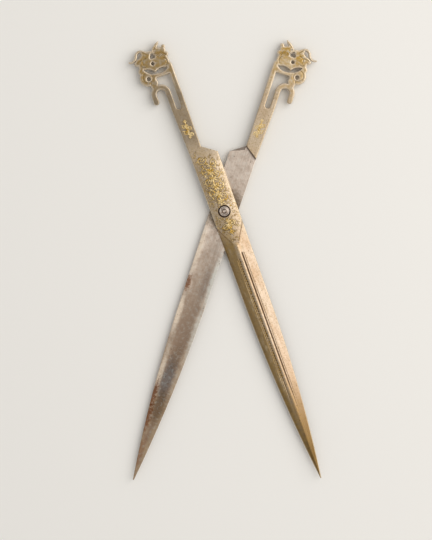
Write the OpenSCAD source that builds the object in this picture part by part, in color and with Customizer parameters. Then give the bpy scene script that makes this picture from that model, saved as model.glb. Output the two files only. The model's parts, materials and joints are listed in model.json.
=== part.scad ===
// Calligrapher's scissors: two like steel halves riveted at the bolster, the lower one turned over.
// +Z is up, the scissors lie open on their back, and the origin is on the pivot at the rivet's flat tail.

/* [Opening] */
// Angle between the two halves as they lie
open_angle = 37.8; // [0:0.1:120]
// Gap between the inner faces of the two halves
face_gap = 0.1; // [0.04:0.02:0.3]
// Gap between the two handles, and at the shoulder stops, when closed
stop_gap = 0.2; // [0.1:0.02:0.5]

/* [Blade] */
// Pivot to the tip of the blade
blade_l = 162; // [130:1:200]
// Pivot line to the spine
spine_w = 8; // [6.8:0.1:9.5]
// Pivot line to the cutting edge beside the pivot
edge_w = 7.5; // [6.5:0.1:9]
// How far the cutting edge draws in by the start of its curve
edge_draw = 0.6; // [0:0.1:1.5]
// Where the cutting edge starts to curve, below the pivot
edge_curve_y = 40; // [20:1:70]
// Where the spine starts to curve, below the pivot
spine_curve_y = 60; // [30:1:90]
// Sideways place of the tip
tip_x = 1.2; // [0:0.1:2.5]
// Width left at the tip
tip_w = 0.6; // [0.3:0.1:1.2]
// Thickness on the ridge beside the bolster
ridge_t = 2.5; // [2.2:0.1:3.2]
// Thickness on the ridge at the tip
tip_t = 0.8; // [0.5:0.1:1.2]
// Fall of each outer facet away from the ridge, in degrees
facet_fall = 10.2; // [6:0.2:11]
// Depth of the hollow ground in the inner face
hollow_t = 0.22; // [0.05:0.01:0.3]
// Flat land left along both edges of the hollow
land_w = 1.2; // [0.8:0.1:2]

/* [Moulded rib] */
// Width of the rib at its start
rib_w = 2.6; // [1.8:0.1:3.6]
// Width of the rib at its end
rib_end_w = 2.1; // [0.6:0.1:2.4]
// Height of the rib over the ridge
rib_h = 0.35; // [0.2:0.05:0.6]
// Length of the rib
rib_l = 104; // [60:1:115]
// Radius of the grooves beside the rib
groove_r = 0.32; // [0.2:0.02:0.45]
// Depth of the grooves at their start
groove_t = 0.25; // [0.1:0.05:0.4]

/* [Bolster] */
// Height of the bolster's crown over the inner face
crown_t = 3.1; // [2.9:0.1:3.8]
// Radius of the crown across the bolster
crown_r = 30; // [24:1:60]
// Pivot to the corner of the shoulder
shoulder_y = 33.6; // [28:0.2:40]
// Rise of the shoulder from its corner to the neck
shoulder_rise = 5.8; // [4:0.2:9]
// Where the pointed end starts, below the pivot
point_start_y = 5.5; // [4:0.5:9]
// Length of the pointed end, which draws in to the rib
point_l = 16.5; // [12:0.5:22]
// Width of the bevel under the shoulder at the neck
bevel_w = 2.6; // [1:0.1:4]
// Depth of the bevel under the shoulder at the neck
bevel_t = 1.2; // [0.6:0.1:1.8]

/* [Handle] */
// Thickness of the handle at the neck
neck_t = 4.6; // [3.8:0.1:5.4]
// Thickness of the handle at its top
top_t = 3.2; // [2.4:0.1:4]
// Width of the handle at the neck
neck_w = 7.8; // [6.8:0.1:9]
// Width of the handle where the slot starts
slot_neck_w = 9; // [8.2:0.1:10]
// Bottom of the slot, above the pivot
slot_y = 65; // [58:0.5:72]
// Height of the underside of the openwork head over the slot's bottom
head_rise = 19.8; // [18:0.2:24]
// Width of the inner rail
rail_w = 3; // [2.2:0.1:3.4]
// Width of the slot
slot_w = 2.9; // [2.2:0.1:3.4]
// Height of the hook's centre over the slot's bottom
hook_rise = 10; // [8:0.2:12]
// Radius of the finger gap in the hook
hook_r = 2.6; // [2:0.1:2.8]
// Length of the hook's free leg
hook_leg = 3.6; // [2:0.2:7]

/* [Openwork head] */
// Radius of the volute's disc
volute_r = 4.8; // [4.2:0.1:5.4]
// Radius of the volute's eye
eye_r = 1.1; // [0.7:0.1:1.8]
// Radius of the round piercing
dot_r = 0.9; // [0.6:0.1:1.2]
// Radius of each lobe of the trefoil piercing
lobe_r = 0.85; // [0.5:0.05:1]
// Thickness of the tendril
tendril_w = 1.4; // [0.9:0.05:1.7]
// Radius of the tendril's crook
crook_r = 2.7; // [2.3:0.1:3.2]
// Radius of the tendril's outer bend
tail_r = 3.4; // [2.6:0.1:4]

/* [Rivet] */
// Diameter of the rivet's shank
shank_d = 3.6; // [2.8:0.1:4]
// Diameter of the rivet's head and tail
head_d = 5.7; // [5:0.1:6.2]
// Height of the head's rim
rim_h = 0.45; // [0.3:0.05:0.8]
// Height of the dome over the rim
dome_h = 0.75; // [0.4:0.05:1.1]
// Radius of the dimple in the head
dimple_r = 0.9; // [0.5:0.1:1.2]
// Thickness of the riveted tail
tail_t = 0.6; // [0.4:0.05:1]
// Radial running clearance round the shank
shank_gap = 0.05; // [0.02:0.01:0.08]

/* [Collars] */
// Outer diameter of a collar
collar_d = 7.2; // [6.6:0.1:8]
// Thickness of a collar
collar_t = 0.55; // [0.4:0.05:0.8]
// Depth of the collar's seat under the crown
seat_t = 0.9; // [0.7:0.05:1.2]
// Radial gap round a collar in its seat
collar_gap = 0.05; // [0.02:0.01:0.15]

/* [Gold] */
// Thickness of the gold laid on the steel
gold_t = 0.12; // [0.08:0.01:0.2]
// Width of a gold stem
stem_w = 0.45; // [0.35:0.05:0.7]
// Outer radius of a large scroll
scroll_r = 2.5; // [1.8:0.1:2.8]
// Spacing of the scrolls up the bolster
scroll_step = 8.8; // [7.6:0.2:9]
// Length of a leaf
leaf_l = 3; // [2:0.1:3.4]
// Width of a leaf
leaf_w = 1; // [0.6:0.1:1.4]
// Radius of a dot beside the leaves
bead_r = 0.4; // [0.25:0.05:0.6]

/* [Hidden] */
$fn = 64;
round_fn = 240;             // circles of large radius
eps = 0.01;
far = 60;                   // past every face that a cut has to clear
neck_y = shoulder_y + shoulder_rise;
face_z = face_gap / 2;      // inner face of the half over the plane between the halves
stop_x = stop_gap / 2;      // each handle's inner edge stands this far off the closing line
hook_y = slot_y + hook_rise;
head_y = slot_y + head_rise;
top_y = head_y + 20;        // top of the openwork head
fall = atan((ridge_t - tip_t) / blade_l);
drift = atan(tip_x / blade_l);
crown_z = face_z + crown_t;
seat_z = crown_z - seat_t;
head_z = seat_z + collar_t;
tail_z = head_z + tail_t;
point_y = point_start_y + point_l;
rib_y = point_y - 0.5;      // the rib starts inside the bolster's pointed end
rib_top_z = face_z + ridge_t + rib_h - rib_y * tan(fall);
slot_x = -stop_x - rail_w - slot_w;
hook_x = -slot_neck_w - hook_r;
outer_rail_w = slot_neck_w + slot_x;
hook_out_r = hook_r + outer_rail_w;
steps = 24;
// Discs that make up the openwork head, as x, height over its underside, and radius.
head_discs = [[-11.4, 8.6, 7.2], [-7.3, 7.4, 6.4], [-2.2, 4.6, 2.1], [-1.7, 11.2, 1.6], [-2.7, 13.9, 1.8],
    [-5.4, 13.9, 2.4], [-1.6, 15.7, 1.2], [-17.4, 5.8, 2.4], [-13.6, -2.4, 2.6], [-14, -4.7, 1.6]];
// Leaves on its rim, as x, height, turn, length and width.
rim_leaves = [[-13.2, 11.9, 98, 7.4, 4.4], [-11.4, 12.8, 40, 5.6, 3.2], [-9.2, 14.4, -50, 8, 2]];
// Leaf-shaped piercings, likewise.
leaf_piercings = [[-16.4, 6.5, -124, 7.4, 2.2], [-11.2, 2.7, -83, 8.2, 2.7]];
volute_at = [-15.6, 1.5];
eye_at = [-15.5, 0.7];
trefoil_at = [-9.3, 12.3];
dot_at = [-10.4, 8.3];
crook_at = [-15.6, 14.6];
scroll_rows = 3;
spray_y = collar_d / 2 + 2; // the spray starts this far above and below the pivot
stem_lap = 0.3;             // a stem runs this far past the root of its palmette
sprig_pairs = 2;
sprig_step = 3.4;

// Height of the handle's face over the middle plane at height y.
function handle_z(y) = (neck_t + (top_t - neck_t) * (y - neck_y) / (top_y - neck_y)) / 2;

// Points down the cutting edge and down the spine, straight and then curved in to the tip.
function edge_x(y) = -edge_w + edge_draw * (-y / edge_curve_y);
function curved_in(x0, y0, x1, y1) =
    [for (i = [0 : steps]) let (s = i / steps) [x0 + (x1 - x0) * s * s, y0 + (y1 - y0) * s]];
function fan(r, a0, a1) =
    concat([[0, 0]], [for (i = [0 : 8]) let (a = a0 + (a1 - a0) * i / 8) [r * cos(a), r * sin(a)]]);

// A pointed leaf l long and w wide, from the origin along +Y.
module leaf(l, w) {
    r = (l * l + w * w) / (4 * w);
    translate([0, l / 2])
        intersection() {
            translate([r - w / 2, 0]) circle(r = r);
            translate([w / 2 - r, 0]) circle(r = r);
        }
}

// A band of width w bent on radius r, from angle a0 to a1, with round ends.
module bent_band(r, w, a0, a1) {
    intersection() {
        difference() {
            circle(r = r + w / 2);
            circle(r = r - w / 2);
        }
        polygon(fan(3 * r, a0, a1));
    }
    for (a = [a0, a1])
        rotate(a) translate([r, 0]) circle(d = w);
}

// Blade plan

module blade_plan() {
    polygon(concat(
        [[-neck_w, shoulder_y]],
        curved_in(edge_x(-edge_curve_y), -edge_curve_y, tip_x - tip_w / 2, -blade_l),
        [for (p = [steps : -1 : 0])
            curved_in(spine_w, -spine_curve_y, tip_x + tip_w / 2, -blade_l)[p]],
        [[spine_w, shoulder_y], [-stop_x, neck_y], [-neck_w, neck_y]]));
}

// The bolster from its shoulder to its pointed end, whose sides swing in to the width of the rib.
module bolster_plan() {
    end = rib_w / 2;
    sides = [for (i = [0 : steps]) let (t = i / steps, swing = (1 + cos(180 * t)) / 2)
        [-point_start_y - point_l * t, end + (edge_w - end) * swing, end + (spine_w - end) * swing]];
    intersection() {
        blade_plan();
        union() {
            translate([-far / 2, -point_start_y]) square([far, far * 2]);
            polygon(concat(
                [for (s = sides) [-s[1], s[0]]],
                [for (i = [steps : -1 : 0]) [sides[i][2], sides[i][0]]]));
        }
    }
}

// Handle plan

module hook_plan() {
    translate([hook_x, hook_y]) {
        difference() {
            circle(r = hook_out_r);
            circle(r = hook_r);
            translate([-far, -2 * far]) square(2 * far);
        }
        for (side = [-1, 1])
            translate([side < 0 ? -hook_out_r : hook_r, -hook_leg]) square([outer_rail_w, hook_leg + eps]);
        translate([-hook_r - outer_rail_w / 2, -hook_leg]) circle(d = outer_rail_w);
    }
}

// Steel of the openwork head before it is pierced, from its underside at y = 0.
module head_mass() {
    for (d = concat(head_discs, [[volute_at[0], volute_at[1], volute_r]]))
        translate([d[0], d[1]]) circle(r = d[2]);
    for (l = rim_leaves)
        translate([l[0], l[1]]) rotate(l[2]) leaf(l[3], l[4]);
    translate([head_discs[0][0], 0]) square([-head_discs[0][0] - stop_x, head_discs[0][1] / 2]);
}

module head_piercings() {
    translate(eye_at) circle(r = eye_r);
    translate(dot_at) circle(r = dot_r);
    translate(trefoil_at)
        for (a = [90, 210, 330])
            rotate(a) translate([lobe_r * 0.9, 0]) circle(r = lobe_r);
    for (l = leaf_piercings)
        translate([l[0], l[1]]) rotate(l[2]) leaf(l[3], l[4]);
}

// A tendril of two bends, the second the other way and starting where the first ends.
module tendril_plan() {
    turn = 165;
    translate(crook_at) {
        bent_band(crook_r, tendril_w, 30, turn);
        translate((crook_r + tail_r) * [cos(turn), sin(turn)])
            bent_band(tail_r, tendril_w, turn - 280, turn - 180);
    }
}

module handle_plan() {
    difference() {
        union() {
            polygon([[-neck_w, shoulder_y], [-slot_neck_w, slot_y], [-slot_neck_w, slot_y + eps],
                [-stop_x, slot_y + eps], [-stop_x, shoulder_y]]);
            translate([-stop_x - rail_w, slot_y]) square([rail_w, head_rise + 2]);
            translate([-slot_neck_w, slot_y]) square([outer_rail_w, hook_rise]);
            hook_plan();
            translate([0, head_y]) {
                head_mass();
                tendril_plan();
            }
        }
        translate([slot_x + slot_w / 2, slot_y]) circle(d = slot_w);
        translate([0, head_y]) head_piercings();
    }
}

// Faces of the half

// Everything under the crown of the bolster and of the handle's taper, raised by lift.
module under_crown(lift = 0) {
    intersection() {
        translate([0, far, crown_z - crown_r])
            rotate([90, 0, 0]) cylinder(r = crown_r + lift, h = 3 * far, $fn = round_fn);
        under_taper(lift);
    }
}

// Between the two faces of the handle, which start level with the crown and thin towards the top.
// The crown also falls to the top of the rib along the bolster's pointed end.
module under_taper(lift = 0) {
    slope_y = shoulder_y - 12;
    faces = concat([[-far, rib_top_z], [-point_y, rib_top_z], [-point_start_y, crown_z], [slope_y, crown_z]],
        [for (y = [neck_y, top_y + far]) [y, handle_z(y)]]);
    rotate([90, 0, 90])
        linear_extrude(2 * far, center = true)
            polygon(concat(
                [for (f = faces) [f[0], f[1] + lift]],
                [for (i = [len(faces) - 1 : -1 : 0]) [faces[i][0], -faces[i][1] - lift]]));
}

// A roof of two facets that fall from a ridge on Y, l long towards the tip.
module roof(l) {
    drop = far * tan(facet_fall);
    rotate([90, 0, 0])
        linear_extrude(l)
            polygon([[-far, -drop], [0, 0], [far, -drop], [far, -far], [-far, -far]]);
}

// Places the children on the ridge, with -Y running down it.
module on_ridge() {
    translate([0, 0, face_z + ridge_t]) rotate([fall, 0, drift]) children();
}

// Everything below the pivot line that is under the two outer facets, whose ridge falls to the tip.
module under_facets() {
    on_ridge() roof(far + blade_l);
}

// A low rib that narrows down the ridge and sinks into it at the end.
module rib() {
    on_ridge()
        translate([0, -rib_y, 0])
            intersection() {
                translate([0, 0, rib_h]) rotate([atan(rib_h / rib_l), 0, 0]) roof(rib_l);
                translate([0, 0, -ridge_t / 2])
                    linear_extrude(ridge_t)
                        polygon([[-rib_w / 2, 0], [rib_w / 2, 0],
                            [rib_end_w / 2, -rib_l], [-rib_end_w / 2, -rib_l]]);
            }
}

// Round-bottomed grooves down both sides of the rib, running out at their end.
module rib_grooves() {
    narrow = atan((rib_w - rib_end_w) / 2 / rib_l);
    rise = atan(groove_t / rib_l);
    for (side = [-1, 1])
        on_ridge()
            translate([side * rib_w / 2, -rib_y, groove_r - groove_t - rib_w / 2 * tan(facet_fall)])
                rotate([-rise, 0, side * narrow])
                    rotate([90, 0, 0]) cylinder(r = groove_r, h = rib_l);
}

// The long hollow of the inner face, a shallow round trough that fades out before the tip.
module inner_hollow() {
    start_y = -collar_d;
    width = edge_w + spine_w - 2 * land_w - edge_draw;
    r = (width * width / 4 + hollow_t * hollow_t) / (2 * hollow_t);
    l = blade_l * 0.86;
    lean = atan((tip_x - (spine_w - edge_w) / 2) / blade_l);
    translate([(spine_w - edge_w) / 2, start_y, face_z + hollow_t - r])
        rotate([atan(hollow_t / l), 0, lean])
            rotate([90, 0, 0]) cylinder(r = r, h = l, $fn = 2 * round_fn);
}

// Bevel on the inner side of the shoulder, from nothing at its corner to its full depth at the neck.
module shoulder_bevel() {
    run = spine_w + stop_x;
    intersection() {
        translate([-stop_x, 0, -far]) cube([far, far, 2 * far]);
        translate([-stop_x, neck_y - bevel_w, face_z])
            rotate([0, 0, -atan2(shoulder_rise - bevel_w, run)])
                rotate([atan(bevel_t / bevel_w), 0, 0])
                    translate([-far, 0, -far]) cube([2 * far, far, far]);
    }
}

// Where the lower layer of the handle ends, so that the other half's shoulder stops against it.
module lower_handle_plan() {
    rise = shoulder_rise / (spine_w + stop_x);
    intersection() {
        handle_plan();
        polygon([[0, neck_y + stop_gap], [-far, neck_y + stop_gap - far * rise], [-far, 3 * far], [0, 3 * far]]);
    }
}

// One half

// The forging as it lies in closed scissors: pivot on Z, tip along -Y, inner face at face_z.
module half() {
    difference() {
        union() {
            intersection() {
                translate([0, 0, face_z]) linear_extrude(far) blade_plan();
                under_facets();
            }
            rib();
            intersection() {
                translate([0, 0, face_z])
                    linear_extrude(far) union() {
                        bolster_plan();
                        handle_plan();
                    }
                under_crown();
            }
            intersection() {
                translate([0, 0, face_z]) linear_extrude(far) handle_plan();
                translate([-far, neck_y, -far]) cube(3 * far);
                under_taper();
            }
            intersection() {
                translate([0, 0, -far]) linear_extrude(far + face_z + eps) lower_handle_plan();
                under_taper();
            }
        }
        rib_grooves();
        inner_hollow();
        shoulder_bevel();
        translate([0, 0, -far]) cylinder(d = shank_d + 2 * shank_gap, h = 2 * far);
        translate([0, 0, seat_z]) cylinder(d = collar_d + 2 * collar_gap, h = far);
    }
}

// Rivet and collars

module rivet() {
    head_r = head_d / 2;
    dome_r = (head_r * head_r + dome_h * dome_h) / (2 * dome_h);
    difference() {
        union() {
            translate([0, 0, -tail_z + eps]) cylinder(d = shank_d, h = head_z + tail_z);
            translate([0, 0, -tail_z]) cylinder(d = head_d, h = tail_t);
            translate([0, 0, head_z]) cylinder(d = head_d, h = rim_h);
            translate([0, 0, head_z + rim_h + dome_h - dome_r])
                intersection() {
                    sphere(r = dome_r, $fn = 96);
                    translate([0, 0, dome_r - dome_h]) cylinder(r = head_r, h = dome_h + 1);
                }
        }
        translate([0, 0, head_z + rim_h + dome_h]) sphere(r = dimple_r);
    }
}

module collar() {
    translate([0, 0, seat_z])
        difference() {
            cylinder(d = collar_d, h = collar_t);
            translate([0, 0, -eps]) cylinder(d = shank_d + 2 * shank_gap, h = collar_t + 2 * eps);
        }
}

// Gold

// A scroll of two shrinking turns with a bud in its eye, curling away from the middle.
module scroll(r) {
    translate([r, 0]) {
        bent_band(r, stem_w, -40, 180);
        translate([r * 0.19, 0]) bent_band(r * 0.81, stem_w, 180, 320);
        circle(r = r * 0.3);
        for (a = [20, 80])
            rotate(a) translate([r * 1.05, 0]) rotate(-60) leaf(leaf_l * r / scroll_r * 0.8, leaf_w);
    }
}

// A fan of leaves s times as large as a single leaf, pointing along +Y.
module palmette(s) {
    for (a = [-56, -28, 0, 28, 56])
        rotate(a) leaf(s * (1.35 - abs(a) / 100) * leaf_l, leaf_w * s);
    circle(r = bead_r * s);
}

// A stem up the middle from y0 to y1 that ends in a palmette s large, past its root.
module stem_with_palmette(y0, y1, s) {
    translate([-stem_w / 2, y0]) square([stem_w, y1 - y0 + stem_lap]);
    translate([0, y1]) palmette(s);
}

// What grows beside the stem on its right: scrolls with leaves up the bolster, one more below the rivet.
module spray_side() {
    low_r = scroll_r * 0.72;
    side_x = collar_d / 2 + leaf_w;
    for (i = [0 : scroll_rows - 1])
        translate([stem_w * 0.3, spray_y + scroll_r + i * scroll_step]) {
            scroll(scroll_r);
            translate([scroll_r * 0.5, -scroll_r]) rotate(-68) leaf(leaf_l * 1.1, leaf_w);
            translate([scroll_r * 0.9, scroll_r + leaf_w]) rotate(-8) leaf(leaf_l * 0.8, leaf_w * 0.9);
            translate([scroll_r * 2.1, scroll_r + leaf_w]) circle(r = bead_r);
        }
    translate([side_x, leaf_l]) circle(r = bead_r);
    translate([side_x, leaf_l * 0.6]) rotate(188) leaf(leaf_l * 1.3, leaf_w);
    translate([stem_w * 0.3, -spray_y - low_r]) mirror([0, 1]) scroll(low_r);
    translate([side_x + leaf_w * 0.8, -spray_y - leaf_w * 0.6]) rotate(158) leaf(leaf_l * 1.5, leaf_w);
}

// The spray of scrolls on the bolster.
module bolster_spray() {
    for (side = [0, 1])
        mirror([side, 0]) spray_side();
    stem_with_palmette(spray_y, spray_y + scroll_rows * scroll_step - scroll_r, 1);
    rotate(180) stem_with_palmette(spray_y - 1, point_y - 2 * leaf_l, 0.9);
}

// A sprig of leaf pairs up a stem that ends in a palmette.
module handle_sprig() {
    for (i = [0 : sprig_pairs - 1])
        translate([0, i * sprig_step]) {
            for (turn = [-42, 42])
                rotate(turn) leaf(leaf_l, leaf_w);
            circle(r = bead_r);
        }
    stem_with_palmette(-sprig_step / 2, sprig_pairs * sprig_step, 0.75);
}

// Gold on the crown of the bolster.
module bolster_gold() {
    intersection() {
        translate([0, 0, face_z + eps])
            linear_extrude(far) bolster_spray();
        difference() {
            under_crown(gold_t);
            under_crown(0);
        }
    }
}

// Gold sprigs on both faces of the handle.
module handle_gold() {
    sprig_y = (neck_y + slot_y - sprig_pairs * sprig_step) / 2;
    sprig_x = -(neck_w + slot_neck_w) / 4;
    intersection() {
        for (turn = [0, 180])
            rotate([0, turn, 0])
                translate([turn == 0 ? sprig_x : -sprig_x, sprig_y, eps]) linear_extrude(far) handle_sprig();
        difference() {
            under_taper(gold_t);
            under_taper(0);
        }
    }
}

// Places

// The upper half as it lies, its handle to the left.
module front_place() {
    translate([0, 0, tail_z]) rotate([0, 0, open_angle / 2]) children();
}

// The lower half is the same forging turned over, its handle to the right.
module rear_place() {
    translate([0, 0, tail_z]) rotate([0, 0, -open_angle / 2]) rotate([0, 180, 0]) children();
}

module front_half() { color("#b9a98c") front_place() half(); }
module rear_half() { color("#b3a896") rear_place() half(); }
module pivot_rivet() { color("#cfcac2") translate([0, 0, tail_z]) rivet(); }
module front_collar() { color("#3d3029") front_place() collar(); }
module rear_collar() { color("#3d3029") rear_place() collar(); }
module front_bolster_gold() { color("#c9a24a") front_place() bolster_gold(); }
module rear_bolster_gold() { color("#c9a24a") rear_place() bolster_gold(); }
module front_handle_gold() { color("#c9a24a") front_place() handle_gold(); }
module rear_handle_gold() { color("#c9a24a") rear_place() handle_gold(); }

front_half();
rear_half();
pivot_rivet();
front_collar();
rear_collar();
front_bolster_gold();
rear_bolster_gold();
front_handle_gold();
rear_handle_gold();
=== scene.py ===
"""Calligrapher's scissors: the finish of two riveted steel halves, laid out as a Blender add-on.

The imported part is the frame: +Z is up, the scissors lie open on their back, and the pivot is on Z.
A half is drawn as it lies in closed scissors, in millimetres: the pivot on Z, the tip along -Y, the
handle along +Y at x under 0, and the inner face at the closing plane. It is then placed twice.
"""

import json
import math
from types import SimpleNamespace

import bmesh
import bpy
import numpy as np
from bpy.props import FloatProperty, FloatVectorProperty, PointerProperty
from mathutils import Matrix, Vector, kdtree, noise
from mathutils.geometry import delaunay_2d_cdt


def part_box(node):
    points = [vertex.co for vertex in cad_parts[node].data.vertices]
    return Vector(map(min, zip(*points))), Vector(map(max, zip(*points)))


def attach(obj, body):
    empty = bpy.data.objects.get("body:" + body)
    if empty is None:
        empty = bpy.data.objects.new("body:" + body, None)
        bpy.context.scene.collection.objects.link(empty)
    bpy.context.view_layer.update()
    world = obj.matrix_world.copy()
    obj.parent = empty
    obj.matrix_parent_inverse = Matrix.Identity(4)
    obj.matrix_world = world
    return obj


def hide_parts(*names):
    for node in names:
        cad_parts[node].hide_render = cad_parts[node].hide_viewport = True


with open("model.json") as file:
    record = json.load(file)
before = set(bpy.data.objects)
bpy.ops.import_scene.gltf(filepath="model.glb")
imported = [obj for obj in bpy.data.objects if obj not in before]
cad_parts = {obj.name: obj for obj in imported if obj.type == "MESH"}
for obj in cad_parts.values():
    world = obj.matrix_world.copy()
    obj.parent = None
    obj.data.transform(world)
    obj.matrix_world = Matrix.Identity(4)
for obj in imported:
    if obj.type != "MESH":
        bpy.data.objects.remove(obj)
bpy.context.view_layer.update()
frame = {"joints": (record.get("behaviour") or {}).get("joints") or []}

bl_info = {
    "name": "Calligrapher's scissors",
    "version": (1, 0, 0),
    "blender": (4, 5, 0),
    "location": "View3D > Sidebar > Scissors",
    "description": "Dresses the packed scissors with forged halves, laid gold, a rivet and a studio",
    "category": "Add Mesh",
}

MM = 0.001
PIVOT = frame["joints"][0]
PIVOT_Z = PIVOT["pos_m"][2] / MM            # the plane between the two halves
OPEN_ANGLE = -PIVOT["range_deg"][0]         # from open, as they lie, to closed
HEAD_DIAMETER = (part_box("pivot_rivet")[1].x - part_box("pivot_rivet")[0].x) / MM
HEAD_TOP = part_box("pivot_rivet")[1].z / MM - PIVOT_Z
COLLAR_DIAMETER = 2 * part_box("front_collar")[1].x / MM
COLLAR_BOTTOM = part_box("front_collar")[0].z / MM - PIVOT_Z
COLLAR_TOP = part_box("front_collar")[1].z / MM - PIVOT_Z
SHANK_R = HEAD_DIAMETER / 2 - 1.05
COLLAR_HOLE_R = HEAD_DIAMETER / 2 - 1
HALF_HOLE_R = HEAD_DIAMETER / 2 - 0.9
SEAT_R = COLLAR_DIAMETER / 2 + 0.05
BODIES = ("front", "rear")

# Lengths below are in millimetres, in the closed half.
FACE_Z = 0.05                               # inner face over the plane between the halves
STOP_X = 0.1                                # handle's inner edge off the closing line
HEAD_HEIGHT = 20                            # from the underside of the openwork head to its top
VOLUTE = (-15.6, 1.5)                       # the volute's centre, with its height over that underside
RIB_SIDE = 0.22                             # width of the slope down the rib's sides
GROOVE_OFF = 0.12                           # from the rib's edge to the middle of the groove
LINE_OFF = 1.15                             # from the rib's edge to the fine line beside the groove
LINE_W = 0.2                                # half the width of that line
LINE_DEPTH = 0.45                           # its depth, as a share of the groove's
HOLLOW_RUN = 0.86                           # share of the blade's length that is ground hollow
BLADE_ROUNDING = 0.3                        # radius worn on the edges of blade and bolster
CUTTING_START = 8                           # where the cutting bevel starts, below the pivot
CHASED_DIRT = 0.6                           # how full of dirt a chased line is
LAP = 0.01                                  # outlines that are merged overlap by this
NEAR = 1e-4                                 # points nearer than this are one
SLIVER = 1e-7                               # a triangle whose doubled area isn't over this is dropped
FAR = 50                                    # stands for any distance before the handle's step
ARC_SPACING = 0.22                          # most distance between the points of an arc
ARC_STEPS = 3.5                             # least number of its steps in a radian
BORDER_SPACING = 0.36                       # from point to point round a half
RINGS = (0.12, 0.3, 0.6)                    # distances from the border at which the faces have points
LINE_MARGIN = 0.1                           # the faces' lines stop this far from the border
RING_CLEAR = 0.13                           # least distance from a line to a ring's point
GRID_CLEAR = 0.2                            # least distance from a line to a grid's point
ROUND = 96                                  # segments of what is turned on a lathe


# Sizes and colours


def length(name, description, default):
    """A length property, with its default in millimetres."""
    return FloatProperty(name=name, description=description, default=default * MM, unit="LENGTH")


def linear(code):
    """Linear colour of an sRGB hex code."""
    channels = [int(code[i : i + 2], 16) / 255 for i in (1, 3, 5)]
    return [c / 12.92 if c <= 0.04045 else ((c + 0.055) / 1.055) ** 2.4 for c in channels]


def colour(name, description, code):
    """A colour property, with its default as an sRGB hex code."""
    return FloatVectorProperty(
        name=name, description=description, default=linear(code), subtype="COLOR", min=0, max=1
    )


class BladeSizes(bpy.types.PropertyGroup):
    """Sizes of the blades."""

    reach: length("Length", "From the pivot to the tip", 162)
    spine: length("Spine", "From the pivot line to the spine", 8)
    edge: length("Edge", "From the pivot line to the cutting edge beside the pivot", 7.5)
    edge_draw: length("Edge draw", "How far the cutting edge draws in by the start of its curve", 0.6)
    edge_curve: length("Edge curve", "Where the cutting edge starts to curve, below the pivot", 40)
    spine_curve: length("Spine curve", "Where the spine starts to curve, below the pivot", 60)
    tip_x: length("Tip place", "Sideways place of the tip", 1.2)
    tip_w: length("Tip width", "Width left at the tip", 0.6)
    ridge: length("Ridge", "Thickness on the ridge beside the bolster", 2.5)
    tip: length("Tip", "Thickness on the ridge at the tip", 0.8)
    facet_fall: FloatProperty(
        name="Facet fall", description="Fall of each facet away from the ridge",
        default=math.radians(10.2), unit="ROTATION",
    )
    hollow: length("Hollow", "Depth of the hollow ground in the inner face", 0.22)
    land: length("Land", "Flat land left along both edges of the hollow", 1.2)
    bevel: length("Cutting bevel", "Width of the bevel ground along the cutting edge", 0.6)
    bevel_t: length("Cutting edge", "Thickness left at the cutting edge", 0.12)


class BolsterSizes(bpy.types.PropertyGroup):
    """Sizes of the bolster and of the rib that runs on from it."""

    crown: length("Crown", "Height of the crown over the inner face", 3.1)
    crown_r: length("Crown radius", "Radius of the crown across the bolster", 30)
    shoulder: length("Shoulder", "From the pivot to the corner of the shoulder", 33.6)
    shoulder_rise: length("Shoulder rise", "From its corner to the neck", 5.8)
    point_start: length("Point start", "Where the pointed end starts, below the pivot", 5.5)
    point_l: length("Point", "Length of the pointed end", 16.5)
    ogee: length("Ogee", "Width of the slope from the bolster down to the facets", 0.55)
    bevel_w: length("Shoulder bevel", "Width of the bevel under the shoulder at the neck", 2.6)
    bevel_t: length("Bevel depth", "Depth of that bevel at the neck", 1.2)
    rib_w: length("Rib", "Width of the rib at its start", 2.6)
    rib_end_w: length("Rib end", "Width of the rib at its end", 2.1)
    rib_h: length("Rib height", "Height of the rib over the ridge", 0.35)
    rib_l: length("Rib length", "Length of the rib", 104)
    groove: length("Groove", "Depth of the grooves beside the rib", 0.28)
    groove_w: length("Groove width", "Half the width of a groove", 0.42)


class HandleSizes(bpy.types.PropertyGroup):
    """Sizes of the handles and of their openwork heads."""

    neck_t: length("Neck thickness", "Thickness of the handle at the neck", 4.6)
    top_t: length("Top thickness", "Thickness of the handle at its top", 3.2)
    neck_w: length("Neck", "Width of the handle at the neck", 7.8)
    slot_neck_w: length("Slot neck", "Width of the handle where the slot starts", 9)
    slot_y: length("Slot", "Bottom of the slot, above the pivot", 65)
    head_rise: length("Head rise", "Underside of the head over the slot's bottom", 19.8)
    rail: length("Rail", "Width of the inner rail", 3)
    slot_w: length("Slot width", "Width of the slot", 2.9)
    hook_rise: length("Hook rise", "Height of the hook's centre over the slot's bottom", 10)
    hook_r: length("Hook gap", "Radius of the gap in the hook", 2.6)
    hook_leg: length("Hook leg", "Length of the hook's free leg", 3.6)
    volute_r: length("Volute", "Radius of the volute's disc", 4.8)
    eye_r: length("Eye", "Radius of the volute's eye", 1.1)
    dot_r: length("Dot", "Radius of the round piercing", 0.9)
    lobe_r: length("Lobe", "Radius of each lobe of the trefoil piercing", 0.85)
    tendril: length("Tendril", "Thickness of the tendril", 1.4)
    tendril_end: length("Tendril end", "Thickness of the tendril at its free end", 0.9)
    crook_r: length("Crook", "Radius of the tendril's crook", 2.7)
    tail_r: length("Tail", "Radius of the tendril's outer bend", 3.4)
    chase_w: length("Chased line", "Half the width of a chased line", 0.16)
    chase_t: length("Chased depth", "Depth of a chased line", 0.08)
    rounding: length("Rounding", "Radius worn on the handle's edges", 0.45)


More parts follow.
